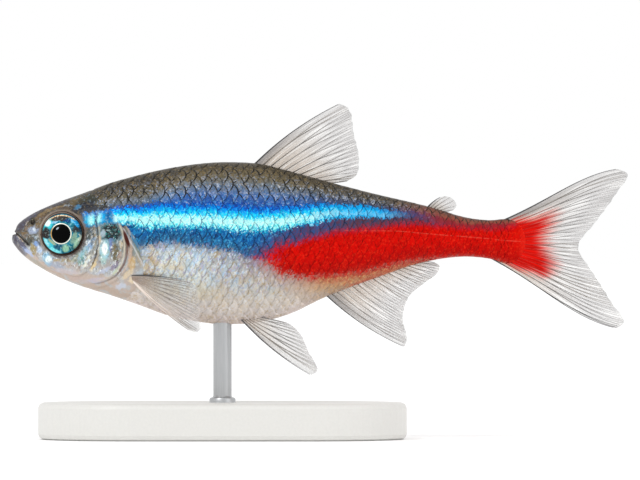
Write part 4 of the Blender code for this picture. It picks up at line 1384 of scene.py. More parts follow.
def bend_coat(coat, field, sizes, side):
    """Lays a flat coat on the skin, and unwraps it with a patch of its own for each scale."""
    flat = read_points(coat.data)
    marks = np.empty(len(flat) * 3, np.float32)
    coat.data.attributes["on_scale"].data.foreach_get("vector", marks)
    across, run, share = marks.reshape(-1, 3).T.astype(float)
    along = field.along_of(flat[:, 0])
    arc = flat[:, 1] * field.height_of_row(along)
    places, normals = field.surface(along, arc)
    top = np.interp(along, field.alongs, field.top)
    bottom = np.interp(along, field.alongs, field.bottom)
    to_middle = np.minimum(top - arc, bottom + arc)
    rise = (0.35 + 0.65 * ease(to_middle, 0.0, 0.8)) * (1 - 0.7 * ease(along, 30.0, 32.5))
    rise *= 1 - 0.6 * red_share(along, places[:, 2])
    laid = places + normals * (flat[:, 2] * rise)[:, None]
    laid[:, 1] *= -side
    coat.data.vertices.foreach_set("co", place(*laid.T).astype(np.float32).ravel())
    column = flat[:, 0] - share * sizes.scale_length
    row = flat[:, 1] - across * sizes.scale_half_width
    u = (column + CELL_SHARE * run) / (field.columns[-1] + 2)
    v = 0.5 + (row + CELL_SHARE / 2 * across) / MAP_ROWS
    cells = np.stack([u, v], axis=1)
    add_map(coat.data, "OFBake", cells[corner_points(coat.data)])
    coat.data.update()
    point_outwards(coat.data)
    coat.data.shade_smooth()


def red_share(along, up):
    """1 in the red of the rear flank, where the scales lie flatter, and 0 round it."""
    top = smooth_through(along, *zip(*RED_TOP))
    bottom = smooth_through(along, *zip(*RED_BOTTOM))
    return ease(along, 16.0, 18.0) * ease(top - up, -0.1, 0.3) * ease(up - bottom, -0.1, 0.3)


def build_scales(sizes, tints):
    """The scales of both flanks, each flank in one piece."""
    field = ScaleField(sizes)
    group = scale_group()
    material = scale_material(tints)
    roots = scale_roots(field)
    for name, side in SIDES:
        coat = coat_object(f"scales_{name}", roots, group, sizes, material, SCALE_SEED + side)
        bend_coat(coat, field, sizes, side)
        hand_over(coat, "blue_flank_skin")


def eye_height(radius):
    """Height of the eyeball's face: a low dome with a raised lens and a rim round it."""
    dome = 0.18 + 0.62 * (1 - (radius / 1.42) ** 2.2)
    lens = 0.07 * np.clip(1 - (radius / 0.64) ** 2, 0, 1)
    rim = 0.02 * hump(radius - 0.67, 0.04)
    dip = -0.03 * hump(radius - 0.95, 0.20)
    return dome + lens + rim + dip


def build_eyes():
    """Both eyeballs, each turned a little forwards."""
    material = eye_material()
    face = np.linspace(0, EYE_RADIUS, EYE_RINGS)[1:]
    back_radii, back_heights = zip(*EYE_BACK)
    radii = np.concatenate([face, back_radii])
    heights = np.concatenate([eye_height(face), back_heights])
    turn = np.arange(EYE_SIDES) * 2 * math.pi / EYE_SIDES
    x = radii[:, None] * np.cos(turn)
    y = radii[:, None] * np.sin(turn)
    z = np.repeat(heights[:, None], EYE_SIDES, axis=1)
    local = np.stack([x, y, z], axis=2).reshape(-1, 3)
    local = np.concatenate([local, [(0, 0, float(eye_height(0.0)))], [(0, 0, EYE_REAR)]])
    c, s = math.cos(EYE_TURN), math.sin(EYE_TURN)
    rows = len(radii)
    faces = ring_faces(rows, EYE_SIDES)
    faces += end_faces(rows, EYE_SIDES, rows * EYE_SIDES, rows * EYE_SIDES + 1)
    for name, side in SIDES:
        outward = EYE_OUTWARD + c * local[:, 2] + s * local[:, 0]
        vertices = place(EYE[0] + c * local[:, 0] - s * local[:, 2], side * outward, EYE[1] + local[:, 1])
        eye = mesh_object(f"eye_{name}_ball", vertices, faces)
        point_outwards(eye.data)
        add_map(eye.data, "eye_face", local[corner_points(eye.data), :2] / EYE_MAP_SPAN + 0.5)
        eye.data.materials.append(material)
        hand_over(eye, "eye_gloss", f"eye_{name}")


# Markings of the iris, beside its middle
IRIS_PATCHES = (
    Patch(0.00, -0.05, 1.30, 1.30, 0, "1f7f92", 0.60),
    Patch(-0.92, 0.58, 0.50, 0.32, 40, "3fd0dc", 0.95),
    Patch(-0.90, 0.66, 0.26, 0.20, 40, "ecfffb", 1.00),
    Patch(-0.42, 0.72, 0.30, 0.10, 25, "8fc6e8", 0.90),
    Patch(-0.98, 0.02, 0.34, 0.36, 0, "2c2624", 1.00),
    Patch(-0.86, -0.72, 0.24, 0.62, 45, "3cbccc", 1.00),
    Patch(-0.98, -0.52, 0.12, 0.28, 32, "b0eef4", 0.70),
    Patch(-0.45, -1.05, 0.42, 0.12, -25, "7fe6ec", 0.90),
    Patch(-0.60, -0.50, 0.12, 0.30, 45, "a9b88c", 0.75),
    Patch(-0.18, -0.84, 0.30, 0.16, 0, "1c5470", 0.85),
    Patch(0.26, -0.92, 0.24, 0.28, -10, "9fd0a4", 0.72),
    Patch(0.62, -0.88, 0.14, 0.22, -40, "13646e", 0.95),
    Patch(0.98, -0.50, 0.17, 0.46, -30, "b4dcb4", 0.75),
    Patch(1.14, -0.22, 0.08, 0.30, -10, "e8f4e4", 0.80),
    Patch(0.78, -0.24, 0.16, 0.40, -20, "8fae90", 0.72),
    Patch(0.96, 0.30, 0.28, 0.28, 20, "2c2624", 0.95),
    Patch(0.88, 0.72, 0.50, 0.16, -42, "1496d4", 0.95),
    Patch(0.66, 0.80, 0.22, 0.07, -42, "7fd4f2", 0.80),
    Patch(0.30, 0.82, 0.30, 0.10, -10, "083c7c", 0.95),
    Patch(-0.12, 0.96, 0.62, 0.18, 4, "3b332e", 1.00),
    Patch(1.20, 0.22, 0.10, 0.40, 8, "0a3c58", 0.85),
)
# A painted highlight on the pupil, where a lamp's reflection would be
CATCHLIGHT = Patch(-0.22, 0.34, 0.11, 0.055, 40, "a4b0bc")


def eye_material():
    """A black pupil with a painted highlight on it, in a pale ring, and an iris of metallic patches under a
    gold arc.
    """
    mat = Finish("tetra_eye", Specular_IOR_Level=0.05, Coat_Roughness=0.04, IOR=1.45)
    uv = mat.node("ShaderNodeUVMap", {"uv_map": "eye_face"})
    x, y, _ = mat.split(mat.vector("SUBTRACT", uv, (0.5, 0.5, 0.0)))
    spot = mat.join(x * EYE_MAP_SPAN, 0.0, y * EYE_MAP_SPAN)
    radius = mat.length(spot)
    outward = mat.node("ShaderNodeVectorMath", {"operation": "NORMALIZE"}, Vector=spot)
    streak = mat.noise(mat.vector("ADD", mat.vector("MULTIPLY", outward, (7.0, 7.0, 7.0)), spot), 1.0, 3.0)
    warped = mat.vector("ADD", spot, mat.drift(spot, 3.2, 5.0, (0.40, 0.0, 0.40)))
    warped = mat.vector("MULTIPLY", warped, (0.96, 1.0, 0.96))
    iris = mat.mix(mat.step(streak, 0.35, 0.65), "08506a", "1c88a4")
    for patch in IRIS_PATCHES:
        iris = mat.mix(mat.oval(warped, patch) * patch.strength, iris, patch.code)
    fine = mat.noise(spot, 9.0, 4.0)
    iris = mat.mix(mat.step(streak, 0.56, 0.70) * 0.22, iris, "bff0f0")
    iris = mat.mix(mat.step(streak, 0.44, 0.32) * 0.45, iris, "0c2c3a")
    iris = mat.mix(mat.step(fine, 0.56, 0.70) * 0.28, iris, "d5fbfa")
    iris = mat.mix(mat.step(fine, 0.44, 0.30) * 0.40, iris, "123440")
    above = mat.split(spot)[2]
    fold_dark, fold_pale = "59463d", "74665d"
    arc = mat.length(mat.vector("MULTIPLY", spot, (0.93, 0.0, 1.0)))
    gold = mat.step(arc, 1.13, 1.17) * mat.step(arc, 1.24, 1.20) * mat.step(above, 0.80, 1.00)
    iris = mat.mix(gold, iris, mat.mix(mat.step(fine, 0.4, 0.6), "a87a48", "ffe9c4"))
    iris = mat.mix(mat.step(radius, 1.265, 1.305), iris, "2a201c")
    fold = mat.mix(mat.step(above, -1, 1), fold_dark, fold_pale)
    iris = mat.mix(mat.step(radius, 1.330, 1.355), iris, fold)
    ring = mat.step(radius, PUPIL_RADIUS, PUPIL_RADIUS + 0.015) * mat.step(radius, 0.695, 0.675)
    rim = mat.mix(mat.step(mat.split(spot)[0], -0.45, -0.62), "f1eedd", "c8953c")
    iris = mat.mix(ring, iris, rim)
    pupil = mat.step(radius, PUPIL_RADIUS + 0.01, PUPIL_RADIUS - 0.01)
    # The black pupil with its painted highlight
    black = mat.mix(mat.oval(spot, CATCHLIGHT), "000000", CATCHLIGHT.code)
    colour = mat.mix(pupil, iris, black)
    silver = mat.step(radius, 0.62, 0.70) * mat.step(radius, 1.30, 1.20) * 0.4
    coat = 0.12 - pupil * 0.10
    return mat.feed(Base_Color=colour, Metallic=silver, Roughness=0.3 + pupil * 0.3, Coat_Weight=coat)


class Fin(NamedTuple):
    """A fin seen from the side. Its rays run from the root line to the margin, front to rear."""

    root: tuple
    margin: tuple
    rays: int
    lead_bow: float
    trail_bow: float
    forks: int = 2
    bow_place: float = 1.0
    ray_share: float = 1.0


class Flare(NamedTuple):
    """How a paired fin stands off the middle plane: at its root, and more for each millimetre."""

    out: float
    backward: float
    downward: float


NO_FLARE = Flare(0.0, 0.0, 0.0)
FINS = {
    "dorsal_fin": Fin(
        ((15.80, 4.95), (18.2, 4.36), (20.60, 3.70)),
        ((21.30, 8.86), (21.78, 8.66), (22.26, 6.86), (22.58, 5.17), (22.42, 4.25), (21.80, 3.82)),
        11, 0.085, -0.02,
    ),
    "adipose_fin": Fin(
        ((27.00, 2.10), (27.55, 1.92), (28.05, 1.78)),
        ((27.85, 2.78), (28.25, 2.84), (28.70, 2.65), (28.90, 2.25), (28.72, 1.97), (28.40, 1.84)),
        7, 0.10, -0.02, 0,
    ),
    "anal_fin": Fin(
        ((20.45, -3.60), (23.0, -2.58), (26.70, -1.36)),
        (
            (25.50, -6.95), (25.66, -6.60), (25.44, -5.00), (25.80, -3.74), (26.80, -2.82),
            (27.72, -2.06), (27.82, -1.70), (27.50, -1.46),
        ),
        20, -0.085, 0.03, ray_share=0.8,
    ),
    "tail_fin": Fin(
        ((32.00, 1.30), (32.60, 0.70), (32.80, -0.12), (32.30, -0.90), (31.30, -1.26)),
        (
            (39.40, 4.62), (40.0, 4.35), (39.27, 2.94), (37.93, 1.10), (36.85, -0.42), (37.80, -2.10),
            (38.95, -3.92), (39.72, -5.50), (39.30, -5.74),
        ),
        19, 0.072, -0.078, bow_place=2.5,
    ),
    "pectoral_fin": Fin(
        ((7.90, -2.30), (7.97, -2.56), (8.04, -2.82)),
        ((11.30, -2.60), (11.95, -2.92), (12.22, -3.70), (12.24, -4.90), (12.14, -5.96), (11.60, -5.88)),
        11, 0.05, -0.06,
    ),
    "pelvic_fin": Fin(
        ((14.78, -5.00), (15.15, -4.96), (15.60, -4.90)),
        ((19.45, -8.77), (19.80, -8.60), (19.28, -7.20), (18.68, -6.00), (18.10, -5.48), (17.10, -5.20)),
        8, -0.085, 0.03, ray_share=0.8,
    ),
}
FLARES = {
    "pectoral_fin": Flare(out=2.10, backward=0.30, downward=0.10),
    "pelvic_fin": Flare(out=0.80, backward=0.03, downward=0.34),
}
# How finely a fin is built, and where its rays fork, as shares of their length
MEMBRANE_ROWS = 22
COLUMNS_PER_RAY = 6
SCALLOP = 0.010
RAY_POINTS = 22
RAY_SIDES = 6
RAY_SEED = 5
FIRST_FORK = 0.30
FORK_STEP = 0.26


def fin_surface(fin, flare, side, across, out):
    """Places on the fin's middle surface at shares across it and out from its root."""
    root = smooth_line(fin.root, across)
    tip = smooth_line(fin.margin, across)
    chord = tip - root
    k = fin.bow_place
    t = np.clip(out, 0, 1)
    bulge = 0.5 * t**k * (1 - t) * (k + 1) * ((k + 1) / k) ** k
    bow = (fin.lead_bow + (fin.trail_bow - fin.lead_bow) * across) * bulge
    square = np.stack([-chord[..., 1], chord[..., 0]], axis=-1)
    flat = root + chord * out[..., None] + square * bow[..., None]
    middle = np.asarray(fin.root)[len(fin.root) // 2]
    back, upward = flat[..., 0] - middle[0], flat[..., 1] - middle[1]
    stand_off = side * (flare.out + flare.backward * back - flare.downward * upward)
    return np.stack([flat[..., 0], stand_off, flat[..., 1]], axis=-1)


def fin_membrane(name, fin, flare, side, sizes):
    """A thin closed sheet between the rays."""
    columns, rows = COLUMNS_PER_RAY * fin.rays, MEMBRANE_ROWS
    across = np.linspace(0, 1, columns + 1)
    out = np.linspace(-0.03, 1.0, rows + 1)
    across, out = np.meshgrid(across, out, indexing="ij")
    inner = ease(across, 0.04, 0.16) * ease(1 - across, 0.04, 0.16)
    scallop = SCALLOP * inner * np.abs(np.sin(across * (fin.rays - 1) * math.pi)) * ease(out, 0.8, 1)
    sheet = fin_surface(fin, flare, side, across, out - scallop)
    normal = np.cross(np.gradient(sheet, axis=0), np.gradient(sheet, axis=1))
    normal /= np.maximum(np.linalg.norm(normal, axis=2), 1e-9)[:, :, None]
    half = sizes.membrane_thickness / MM / 2 * (1.3 - 0.9 * ease(out, 0.0, 1.0))[:, :, None]
    both = np.concatenate([(sheet + normal * half).reshape(-1, 3), (sheet - normal * half).reshape(-1, 3)])
    count, wide = sheet.shape[0] * sheet.shape[1], rows + 1
    faces = []
    for i in range(columns):
        for j in range(rows):
            here, there = i * wide + j, (i + 1) * wide + j
            faces.append((here, there, there + 1, here + 1))
            faces.append((count + here, count + here + 1, count + there + 1, count + there))
    rim = [i * wide for i in range(columns + 1)]
    rim += [columns * wide + j for j in range(1, wide)]
    rim += [i * wide + rows for i in reversed(range(columns))]
    rim += list(reversed(range(1, rows)))
    for here, there in zip(rim, rim[1:] + rim[:1]):
        faces.append((here, count + here, count + there, there))
    made = mesh_object(name, place(*both.T), faces)
    point_outwards(made.data)
    spots = np.stack([across, out, 0.0 * out], axis=2).reshape(-1, 3)
    mark_fin_places(made.data, np.concatenate([spots, spots]))
    return made


def mark_fin_places(mesh, spots):
    """Keeps each point's share across the fin, share out from its root and ray's chance."""
    layer = mesh.attributes.new("fin_place", "FLOAT_VECTOR", "POINT")
    layer.data.foreach_set("vector", np.asarray(spots, np.float32).ravel())


def branch_offset(tip, forks, out, gap):
    """How far a branch has turned off its ray, where each fork splits it in two."""
    offset = np.zeros(out.shape)
    for level in range(forks):
        turn = 1 if (tip >> (forks - 1 - level)) & 1 else -1
        start = FIRST_FORK + FORK_STEP * level
        offset += turn * gap * 0.25 / 2**level * ease(out, start, start + 0.50)
    return offset


def ray_lines(fin, flare, side, sizes):
    """Points, edges, thickness and fin places of every ray and the branches that it forks into."""
    points, edges, thickness, spots = [], [], [], []
    gap = 1 / (fin.rays - 1)
    chances = np.random.default_rng(RAY_SEED).random(fin.rays)
    for ray in range(fin.rays):
        forks = fin.forks if ray > 0 else 0
        for tip in range(2**forks):
            start = -0.02 if tip == 0 else FIRST_FORK + FORK_STEP * (forks - tip.bit_length())
            out = np.linspace(start, 0.965 + 0.025 * chances[ray], RAY_POINTS)
            across = np.clip(ray * gap + branch_offset(tip, forks, out, gap), 0, 1)
            line = fin_surface(fin, flare, side, across, out)
            size = (1.0 - 0.66 * np.clip(out, 0, 1) ** 0.7) * fin.ray_share
            size = size * (1.35 if ray == 0 else 0.8 + 0.45 * chances[ray])
            first = len(points)
            points.extend(line.tolist())
            thickness.extend((size * sizes.ray_radius).tolist())
            spots.extend(zip(across, out, [chances[ray]] * len(out)))
            edges.extend((first + i, first + i + 1) for i in range(len(line) - 1))
    return np.array(points), edges, thickness, spots


def ray_group():
    """Turns lines into round rods, as thick at each point as its `thickness` says."""
    group, tree, wires = new_group("fin_rays", {"Sides": "Int", "Material": "Material"})
    line = tree.node("GeometryNodeMeshToCurve", Mesh=wires["Geometry"])
    ring = tree.node("GeometryNodeCurvePrimitiveCircle", Resolution=wires["Sides"], Radius=1.0)
    thick = tree.node("GeometryNodeInputNamedAttribute", Name="thickness")
    rods = tree.node(
        "GeometryNodeCurveToMesh", Curve=line, Profile_Curve=ring, Scale=thick, Fill_Caps=True
    )
    finish_group(tree, rods, wires["Material"])
    return group


# Where the red ends on the tail fin, as (up, along) points
TAIL_BLUSH = (
    (-3.4, 32.6), (-2.6, 34.6), (-1.9, 35.5), (-1.0, 35.3), (-0.3, 35.1), (0.3, 35.1), (1.0, 35.3),
    (1.9, 35.5), (2.5, 34.2), (3.2, 32.6),
)


def tail_blush(mat, across, chance):
    """1 where the red of the tail runs out along the rays in a ragged comb, and 0 beyond."""
    along, _, up, _ = mat.beside_fish()
    comb = mat.noise(mat.join(across * 140.0, 0.3, 0.7), 1.0, 3.0)
    beyond = along - mat.curve(up, TAIL_BLUSH) + (comb - 0.5) * 1.9 + (chance - 0.5) * 0.6
    outside = mat.math("ABSOLUTE", across - 0.51) + (comb - 0.5) * 0.3 - mat.step(along, 34.2, 32.6) * 0.08
    return mat.step(beyond, 0.55, -1.10) * mat.step(outside, 0.42, 0.28)


def fin_membrane_material(name, alpha, tints, on_tail=False):
    """Clear fin skin: warm at its root, streaked along the rays, and red on the tail."""
    mat = Finish(name, Specular_IOR_Level=0.15, Coat_Roughness=0.2)
    across, out, _ = mat.split(mat.attribute("fin_place"))
    streak = mat.noise(mat.join(across * 55.0, out * 2.5, 0.0), 1.0, 3.0)
    near = mat.step(out, 0.75, 0.0)
    colour = mat.mix(near, tints.fins, "cbbcac")
    colour = mat.mix(mat.step(streak, 0.50, 0.66) * 0.8, colour, "f6f5f3")
    colour = mat.mix(mat.step(streak, 0.46, 0.34) * 0.5, colour, "9a9795")
    front = mat.step(across, 0.15, 0.03) * mat.step(out, 0.75, 0.15)
    colour = mat.mix(front * 0.65, colour, "5a595f")
    alpha = alpha + near * 0.16
    if on_tail:
        red = tail_blush(mat, across, 0.5)
        deep = mat.mix(mat.step(streak, 0.35, 0.65), "b40a04", "de1408")
        deep = mat.mix(mat.step(red, 0.97, 0.35) * 0.80, deep, "f0553a")
        colour = mat.mix(red, colour, deep)
        alpha = alpha + red * 0.46 + mat.step(mat.beside_fish()[0], 34.8, 33.4) * red
        mat.feed(Metallic=red * 0.75)
    return mat.feed(Base_Color=colour, Roughness=0.5, Alpha=alpha)


def fin_ray_material(name, root="423b36", middle="8c8987", pale=0.0, clear=0.28, on_tail=False):
    """Fin rays: dark at the root, paler and clearer towards the margin."""
    mat = Finish(name, Specular_IOR_Level=0.2)
    across, out, chance = mat.split(mat.attribute("fin_place"))
    colour = mat.mix(mat.step(out, 0.0, 0.50), root, middle)
    colour = mat.mix(mat.step(out, 0.50, 1.0), colour, "b4b2b1")
    colour = mat.mix(mat.step(chance, 0.35, 0.9) * 0.45, colour, "b0a79c")
    leading = mat.step(across, 0.06, 0.015)
    if on_tail:
        leading = leading + mat.step(across, 0.94, 0.985)
    colour = mat.mix(leading, colour, "4b4a4b")
    colour = mat.mix(mat.step(across, 0.55, 0.95) * mat.step(out, 0.9, 0.5) * pale, colour, "f0e2d8")
    if on_tail:
        colour = mat.mix(tail_blush(mat, across, chance), colour, "c4190c")
    return mat.feed(Base_Color=colour, Roughness=0.45, Alpha=0.88 - mat.step(out, 0.2, 1.0) * clear)


def join_meshes(name, objects):
    """Joins these objects into one, which takes the name."""
    for obj in bpy.context.selected_objects:
        obj.select_set(False)
    for obj in objects:
        obj.select_set(True)
    bpy.context.view_layer.objects.active = objects[0]
    bpy.ops.object.join()
    objects[0].name = name
    objects[0].data.name = name
    return objects[0]


def build_fin(name, fin, flare, side, sizes, group, materials):
    """One fin: its membrane and its branching rays, joined."""
    membrane, ray = materials
    sheet = fin_membrane(name + "_sheet", fin, flare, side, sizes)
    sheet.data.materials.append(membrane)
    points, edges, thickness, spots = ray_lines(fin, flare, side, sizes)
    mesh = bpy.data.meshes.new(name + "_lines")
    mesh.from_pydata(place(*points.T).tolist(), edges, [])
    mesh.attributes.new("thickness", "FLOAT", "POINT").data.foreach_set("value", thickness)
    mark_fin_places(mesh, spots)
    lines = add_object(name + "_lines", mesh)
    rods = add_object(name + "_rays", run_nodes(lines, group, {"Sides": RAY_SIDES, "Material": ray}))
    rods.data.shade_smooth()
    bpy.data.objects.remove(lines)
    return join_meshes(name + "_rayed", [sheet, rods])


def build_fins(sizes, tints):
    """Every fin, the paired ones on both sides."""
    group = ray_group()
    finishes = {
        "tail_fin": (
            fin_membrane_material("tail_membrane", 0.46, tints, on_tail=True),
            fin_ray_material("tail_ray", on_tail=True),
        ),
        "pelvic_fin": (
            fin_membrane_material("pelvic_membrane", 0.20, tints),
            fin_ray_material("pelvic_ray", root="6e6258", clear=0.40),
        ),
        "pectoral_fin": (
            fin_membrane_material("pectoral_membrane", 0.14, tints),
            fin_ray_material("pectoral_ray", root="9c8a7e", middle="a09a94", pale=1.0, clear=0.50),
        ),
    }
    usual = fin_membrane_material("fin_membrane", 0.46, tints), fin_ray_material("fin_ray")
    for name, fin in FINS.items():
        if name == "tail_fin":
            done = build_fin(name, fin, NO_FLARE, LEFT, sizes, group, finishes[name])
            hand_over(done, "clear_fin", "tail_fin_upper", "tail_fin_lower")
            continue
        for label, side in SIDES if name in FLARES else (("", LEFT),):
            full = f"{name}_{label}" if label else name
            materials = finishes.get(name, usual)
            done = build_fin(full, fin, FLARES.get(name, NO_FLARE), side, sizes, group, materials)
            hand_over(done, "clear_fin", full)


def build_rod():
    """A round rod with a low collar, from inside the base up into the belly."""
    low, high = ROD_BOX
    middle = (low.x + high.x) / 2
    foot = BASE_BOX[1].z / MM
    top = float(outline_at(np.array(middle / MM - SNOUT_X))[1]) + AXIS_Z + ROD_IN_BELLY
    rings = [(radius, foot + height) for radius, height in COLLAR] + [(ROD_RADIUS, top)]
    turn = np.arange(ROD_SIDES) * 2 * math.pi / ROD_SIDES
    vertices = [
        (middle + radius * MM * math.cos(angle), radius * MM * math.sin(angle), height * MM)
        for radius, height in rings for angle in turn
    ]
    faces = ring_faces(len(rings), ROD_SIDES)
    faces += [tuple(reversed(range(ROD_SIDES))), tuple(range(len(vertices) - ROD_SIDES, len(vertices)))]
    rod = mesh_object("stand_rod_round", vertices, faces, smooth=False)
    point_outwards(rod.data)
    rod.data.shade_smooth()
    rod.data.set_sharp_from_angle(angle=math.radians(35))
    return rod


def steel_material():
    """Steel brushed along the rod."""
    mat = Finish("stand_brushed_steel", Metallic=1.0)
    along, side, up, _ = mat.beside_fish()
    brushed = mat.noise(mat.join(along * 14.0, side * 14.0, up * 0.8), 1.0, 4.0)
    tint = mat.mix(brushed, "a8aaac", "bcbdbe")
    normal = mat.bump(brushed, 0.004 * MM, 0.3)
    return mat.feed(Base_Color=tint, Roughness=0.26 + brushed * 0.2, Normal=normal)


def white_material(tints):
    """Satin white with a fine orange-peel surface."""
    mat = Finish("stand_satin_white")
    fine = mat.noise(mat.beside_fish()[3], 6.0, 4.0)
    tint = mat.mix(fine, "d2d1cd", tints.base)
    return mat.feed(Base_Color=tint, Roughness=0.38 + fine * 0.1, Normal=mat.bump(fine, 0.01 * MM, 0.4))


def build_stand(tints):
    """Finishes the base's own solid and puts a longer rod in the place of the plain one."""
    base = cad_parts["stand_base"]
    base.data.materials.clear()
    base.data.materials.append(white_material(tints))
    rod = build_rod()
    rod.data.materials.append(steel_material())
    hand_over(rod, "stand_steel", "stand_rod")


def build_stage(settings):
    """A white floor, even light all round, two lamps and a long lens level with the fish."""
    world = bpy.data.worlds.new("studio")
    world.use_nodes = True
    world.node_tree.nodes["Background"].inputs["Color"].default_value = (1, 1, 1, 1)
    world.node_tree.nodes["Background"].inputs["Strength"].default_value = settings.world_light
    bpy.context.scene.world = world
    bpy.context.scene.view_settings.view_transform = "Standard"
    corners = [(x * FLOOR_REACH, y * FLOOR_REACH, 0) for x, y in ((-1, -1), (1, -1), (1, 1), (-1, 1))]
    floor = mesh_object("floor", corners, [(0, 1, 2, 3)], smooth=False)
    mat = Finish("floor_white", Specular_IOR_Level=0.1)
    floor.data.materials.append(mat.feed(Base_Color=(1.0, 1.0, 1.0), Roughness=0.9))
    for name, turn, share, spread in LAMPS:
        light = bpy.data.lights.new(name, "SUN")
        light.energy = settings.key_power * share
        light.angle = math.radians(spread)
        add_object(name, light).rotation_euler = [math.radians(angle) for angle in turn]
    camera = bpy.data.cameras.new("camera")
    camera.lens = CAMERA_LENS
    camera.clip_start = 0.01
    camera.clip_end = 20.0
    seen = add_object("camera", camera)
    width = PHOTO_WIDTH / PIXELS_PER_MM * MM
    distance = width * camera.lens / camera.sensor_width
    centre = (PHOTO_WIDTH / 2 - SNOUT_PIXEL) / PIXELS_PER_MM + SNOUT_X
    seen.location = (centre * MM, -distance, AXIS_Z * MM)
    seen.rotation_euler = (math.radians(90), 0, 0)
    bpy.context.scene.camera = seen


def length_property(name, description, millimetres):
    """A small length that the panel shows."""
    return bpy.props.FloatProperty(
        name=name, description=description, default=millimetres * MM, unit="LENGTH", precision=6
    )


class TetraSizes(bpy.types.PropertyGroup):
    """Sizes of the scales, fins and skin."""

    head_rings: bpy.props.IntProperty(
        name="Head Rings", description="Rings of the skin on the head", default=200, min=40
    )
    body_rings: bpy.props.IntProperty(
        name="Body Rings", description="Rings of the skin behind the head", default=170, min=40
    )
    skin_sides: bpy.props.IntProperty(
        name="Skin Sides", description="Points in a ring of the skin", default=256, min=32
    )
    scale_pitch: length_property("Scale Pitch", "Distance between scales in a row, at the shoulder", 0.68)
    scale_row_share: bpy.props.FloatProperty(
        name="Row Share", description="Height of a row for each pitch", default=0.93, subtype="FACTOR"
    )
    scale_length: bpy.props.FloatProperty(
        name="Scale Length", description="Length of a scale in pitches", default=1.38
    )
    scale_half_width: bpy.props.FloatProperty(
        name="Scale Half Width", description="Half of a scale's height in rows", default=1.04
    )
    scale_thickness: length_property("Scale Thickness", "Thickness of a scale", 0.012)
    scale_lift: length_property("Scale Lift", "Rise of a scale from its root to its edge", 0.038)
    scale_crown: length_property("Scale Crown", "Drop of a scale towards its sides", 0.012)
    scale_bed: length_property("Scale Bed", "Depth of the skin under the scales", 0.03)
    membrane_thickness: length_property("Membrane Thickness", "Thickness of a fin between its rays", 0.036)
    ray_radius: length_property("Ray Radius", "Radius of a fin ray at its root", 0.044)


def tint_property(name, description, code):
    """A colour that the panel shows."""
    return bpy.props.FloatVectorProperty(
        name=name, description=description, subtype="COLOR", size=3, min=0.0, max=1.0, default=srgb(code)
    )


class TetraColours(bpy.types.PropertyGroup):
    """Main colours of the fish and its stand."""

    crown: tint_property("Crown", "Top of the head", "5c5140")
    back: tint_property("Back", "The back above the stripe", "564b33")
    belly: tint_property("Belly", "The belly and the lower flank", "d9d0cc")
    stripe: tint_property("Stripe", "The bright middle of the stripe", "b0fdfa")
    stripe_edge: tint_property("Stripe Edge", "The upper part of the stripe", "009cea")
    red: tint_property("Red", "The middle of the red band", "cc0b04")
    fins: tint_property("Fins", "The clear fins between their rays", "cac8c7")
    base: tint_property("Base", "The stand's base", "dbdad6")


class TetraStage(bpy.types.PropertyGroup):
    """Light of the studio."""

    world_light: bpy.props.FloatProperty(name="World Light", description="Light from all round", default=1.0)
    key_power: bpy.props.FloatProperty(
        name="Key Power", description="Strength of the main lamp", default=0.7
    )


class TETRA_OT_skin(bpy.types.Operator):
    """Build the skin in one piece"""

    bl_idname = "tetra.skin"
    bl_label = "Build Skin"

    def execute(self, context):
        build_skin(context.scene.tetra_sizes, context.scene.tetra_colours)
        return {"FINISHED"}


class TETRA_OT_scales(bpy.types.Operator):
    """Cover the body with scales"""

    bl_idname = "tetra.scales"
    bl_label = "Build Scales"

    def execute(self, context):
        build_scales(context.scene.tetra_sizes, context.scene.tetra_colours)
        return {"FINISHED"}


class TETRA_OT_eyes(bpy.types.Operator):
    """Build both eyes"""

    bl_idname = "tetra.eyes"
    bl_label = "Build Eyes"

    def execute(self, context):
        build_eyes()
        return {"FINISHED"}


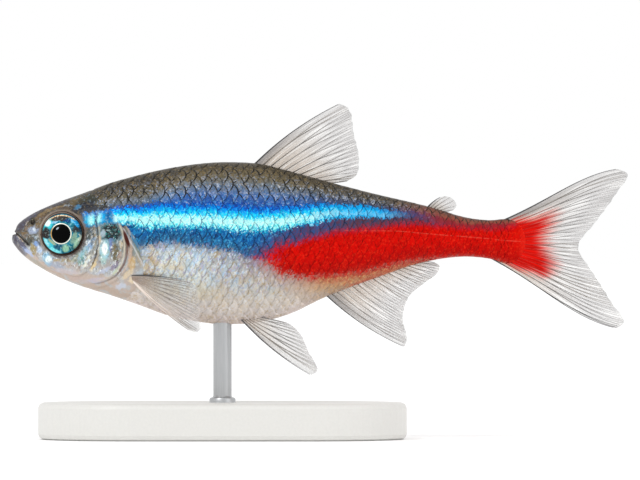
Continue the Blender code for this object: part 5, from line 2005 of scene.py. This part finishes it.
class TETRA_OT_fins(bpy.types.Operator):
    """Build every fin with its rays"""

    bl_idname = "tetra.fins"
    bl_label = "Build Fins"

    def execute(self, context):
        build_fins(context.scene.tetra_sizes, context.scene.tetra_colours)
        return {"FINISHED"}


class TETRA_OT_stand(bpy.types.Operator):
    """Finish the display stand"""

    bl_idname = "tetra.stand"
    bl_label = "Build Stand"

    def execute(self, context):
        build_stand(context.scene.tetra_colours)
        return {"FINISHED"}


class TETRA_OT_stage(bpy.types.Operator):
    """Set the floor, the light and the camera"""

    bl_idname = "tetra.stage"
    bl_label = "Set Stage"

    def execute(self, context):
        build_stage(context.scene.tetra_stage)
        return {"FINISHED"}


OPERATORS = (
    TETRA_OT_skin, TETRA_OT_scales, TETRA_OT_eyes, TETRA_OT_fins, TETRA_OT_stand, TETRA_OT_stage,
)


class TETRA_PT_panel(bpy.types.Panel):
    """The steps that build the model"""

    bl_label = "Neon Tetra"
    bl_idname = "TETRA_PT_panel"
    bl_space_type = "VIEW_3D"
    bl_region_type = "UI"
    bl_category = "Tetra"

    def draw(self, context):
        scene = context.scene
        for operator in OPERATORS:
            self.layout.operator(operator.bl_idname)
        for settings in (scene.tetra_sizes, scene.tetra_colours, scene.tetra_stage):
            for name in settings.__annotations__:
                self.layout.prop(settings, name)


CLASSES = (TetraSizes, TetraColours, TetraStage, *OPERATORS, TETRA_PT_panel)


def register():
    """Adds the classes and the scene's settings."""
    for cls in CLASSES:
        bpy.utils.register_class(cls)
    bpy.types.Scene.tetra_sizes = bpy.props.PointerProperty(type=TetraSizes)
    bpy.types.Scene.tetra_colours = bpy.props.PointerProperty(type=TetraColours)
    bpy.types.Scene.tetra_stage = bpy.props.PointerProperty(type=TetraStage)


def unregister():
    """Removes the classes and the scene's settings."""
    del bpy.types.Scene.tetra_stage
    del bpy.types.Scene.tetra_colours
    del bpy.types.Scene.tetra_sizes
    for cls in reversed(CLASSES):
        bpy.utils.unregister_class(cls)


def main():
    """Builds every piece."""
    register()
    bpy.ops.tetra.skin()
    bpy.ops.tetra.scales()
    bpy.ops.tetra.eyes()
    bpy.ops.tetra.fins()
    bpy.ops.tetra.stand()
    bpy.ops.tetra.stage()


if __name__ == "__main__":
    main()
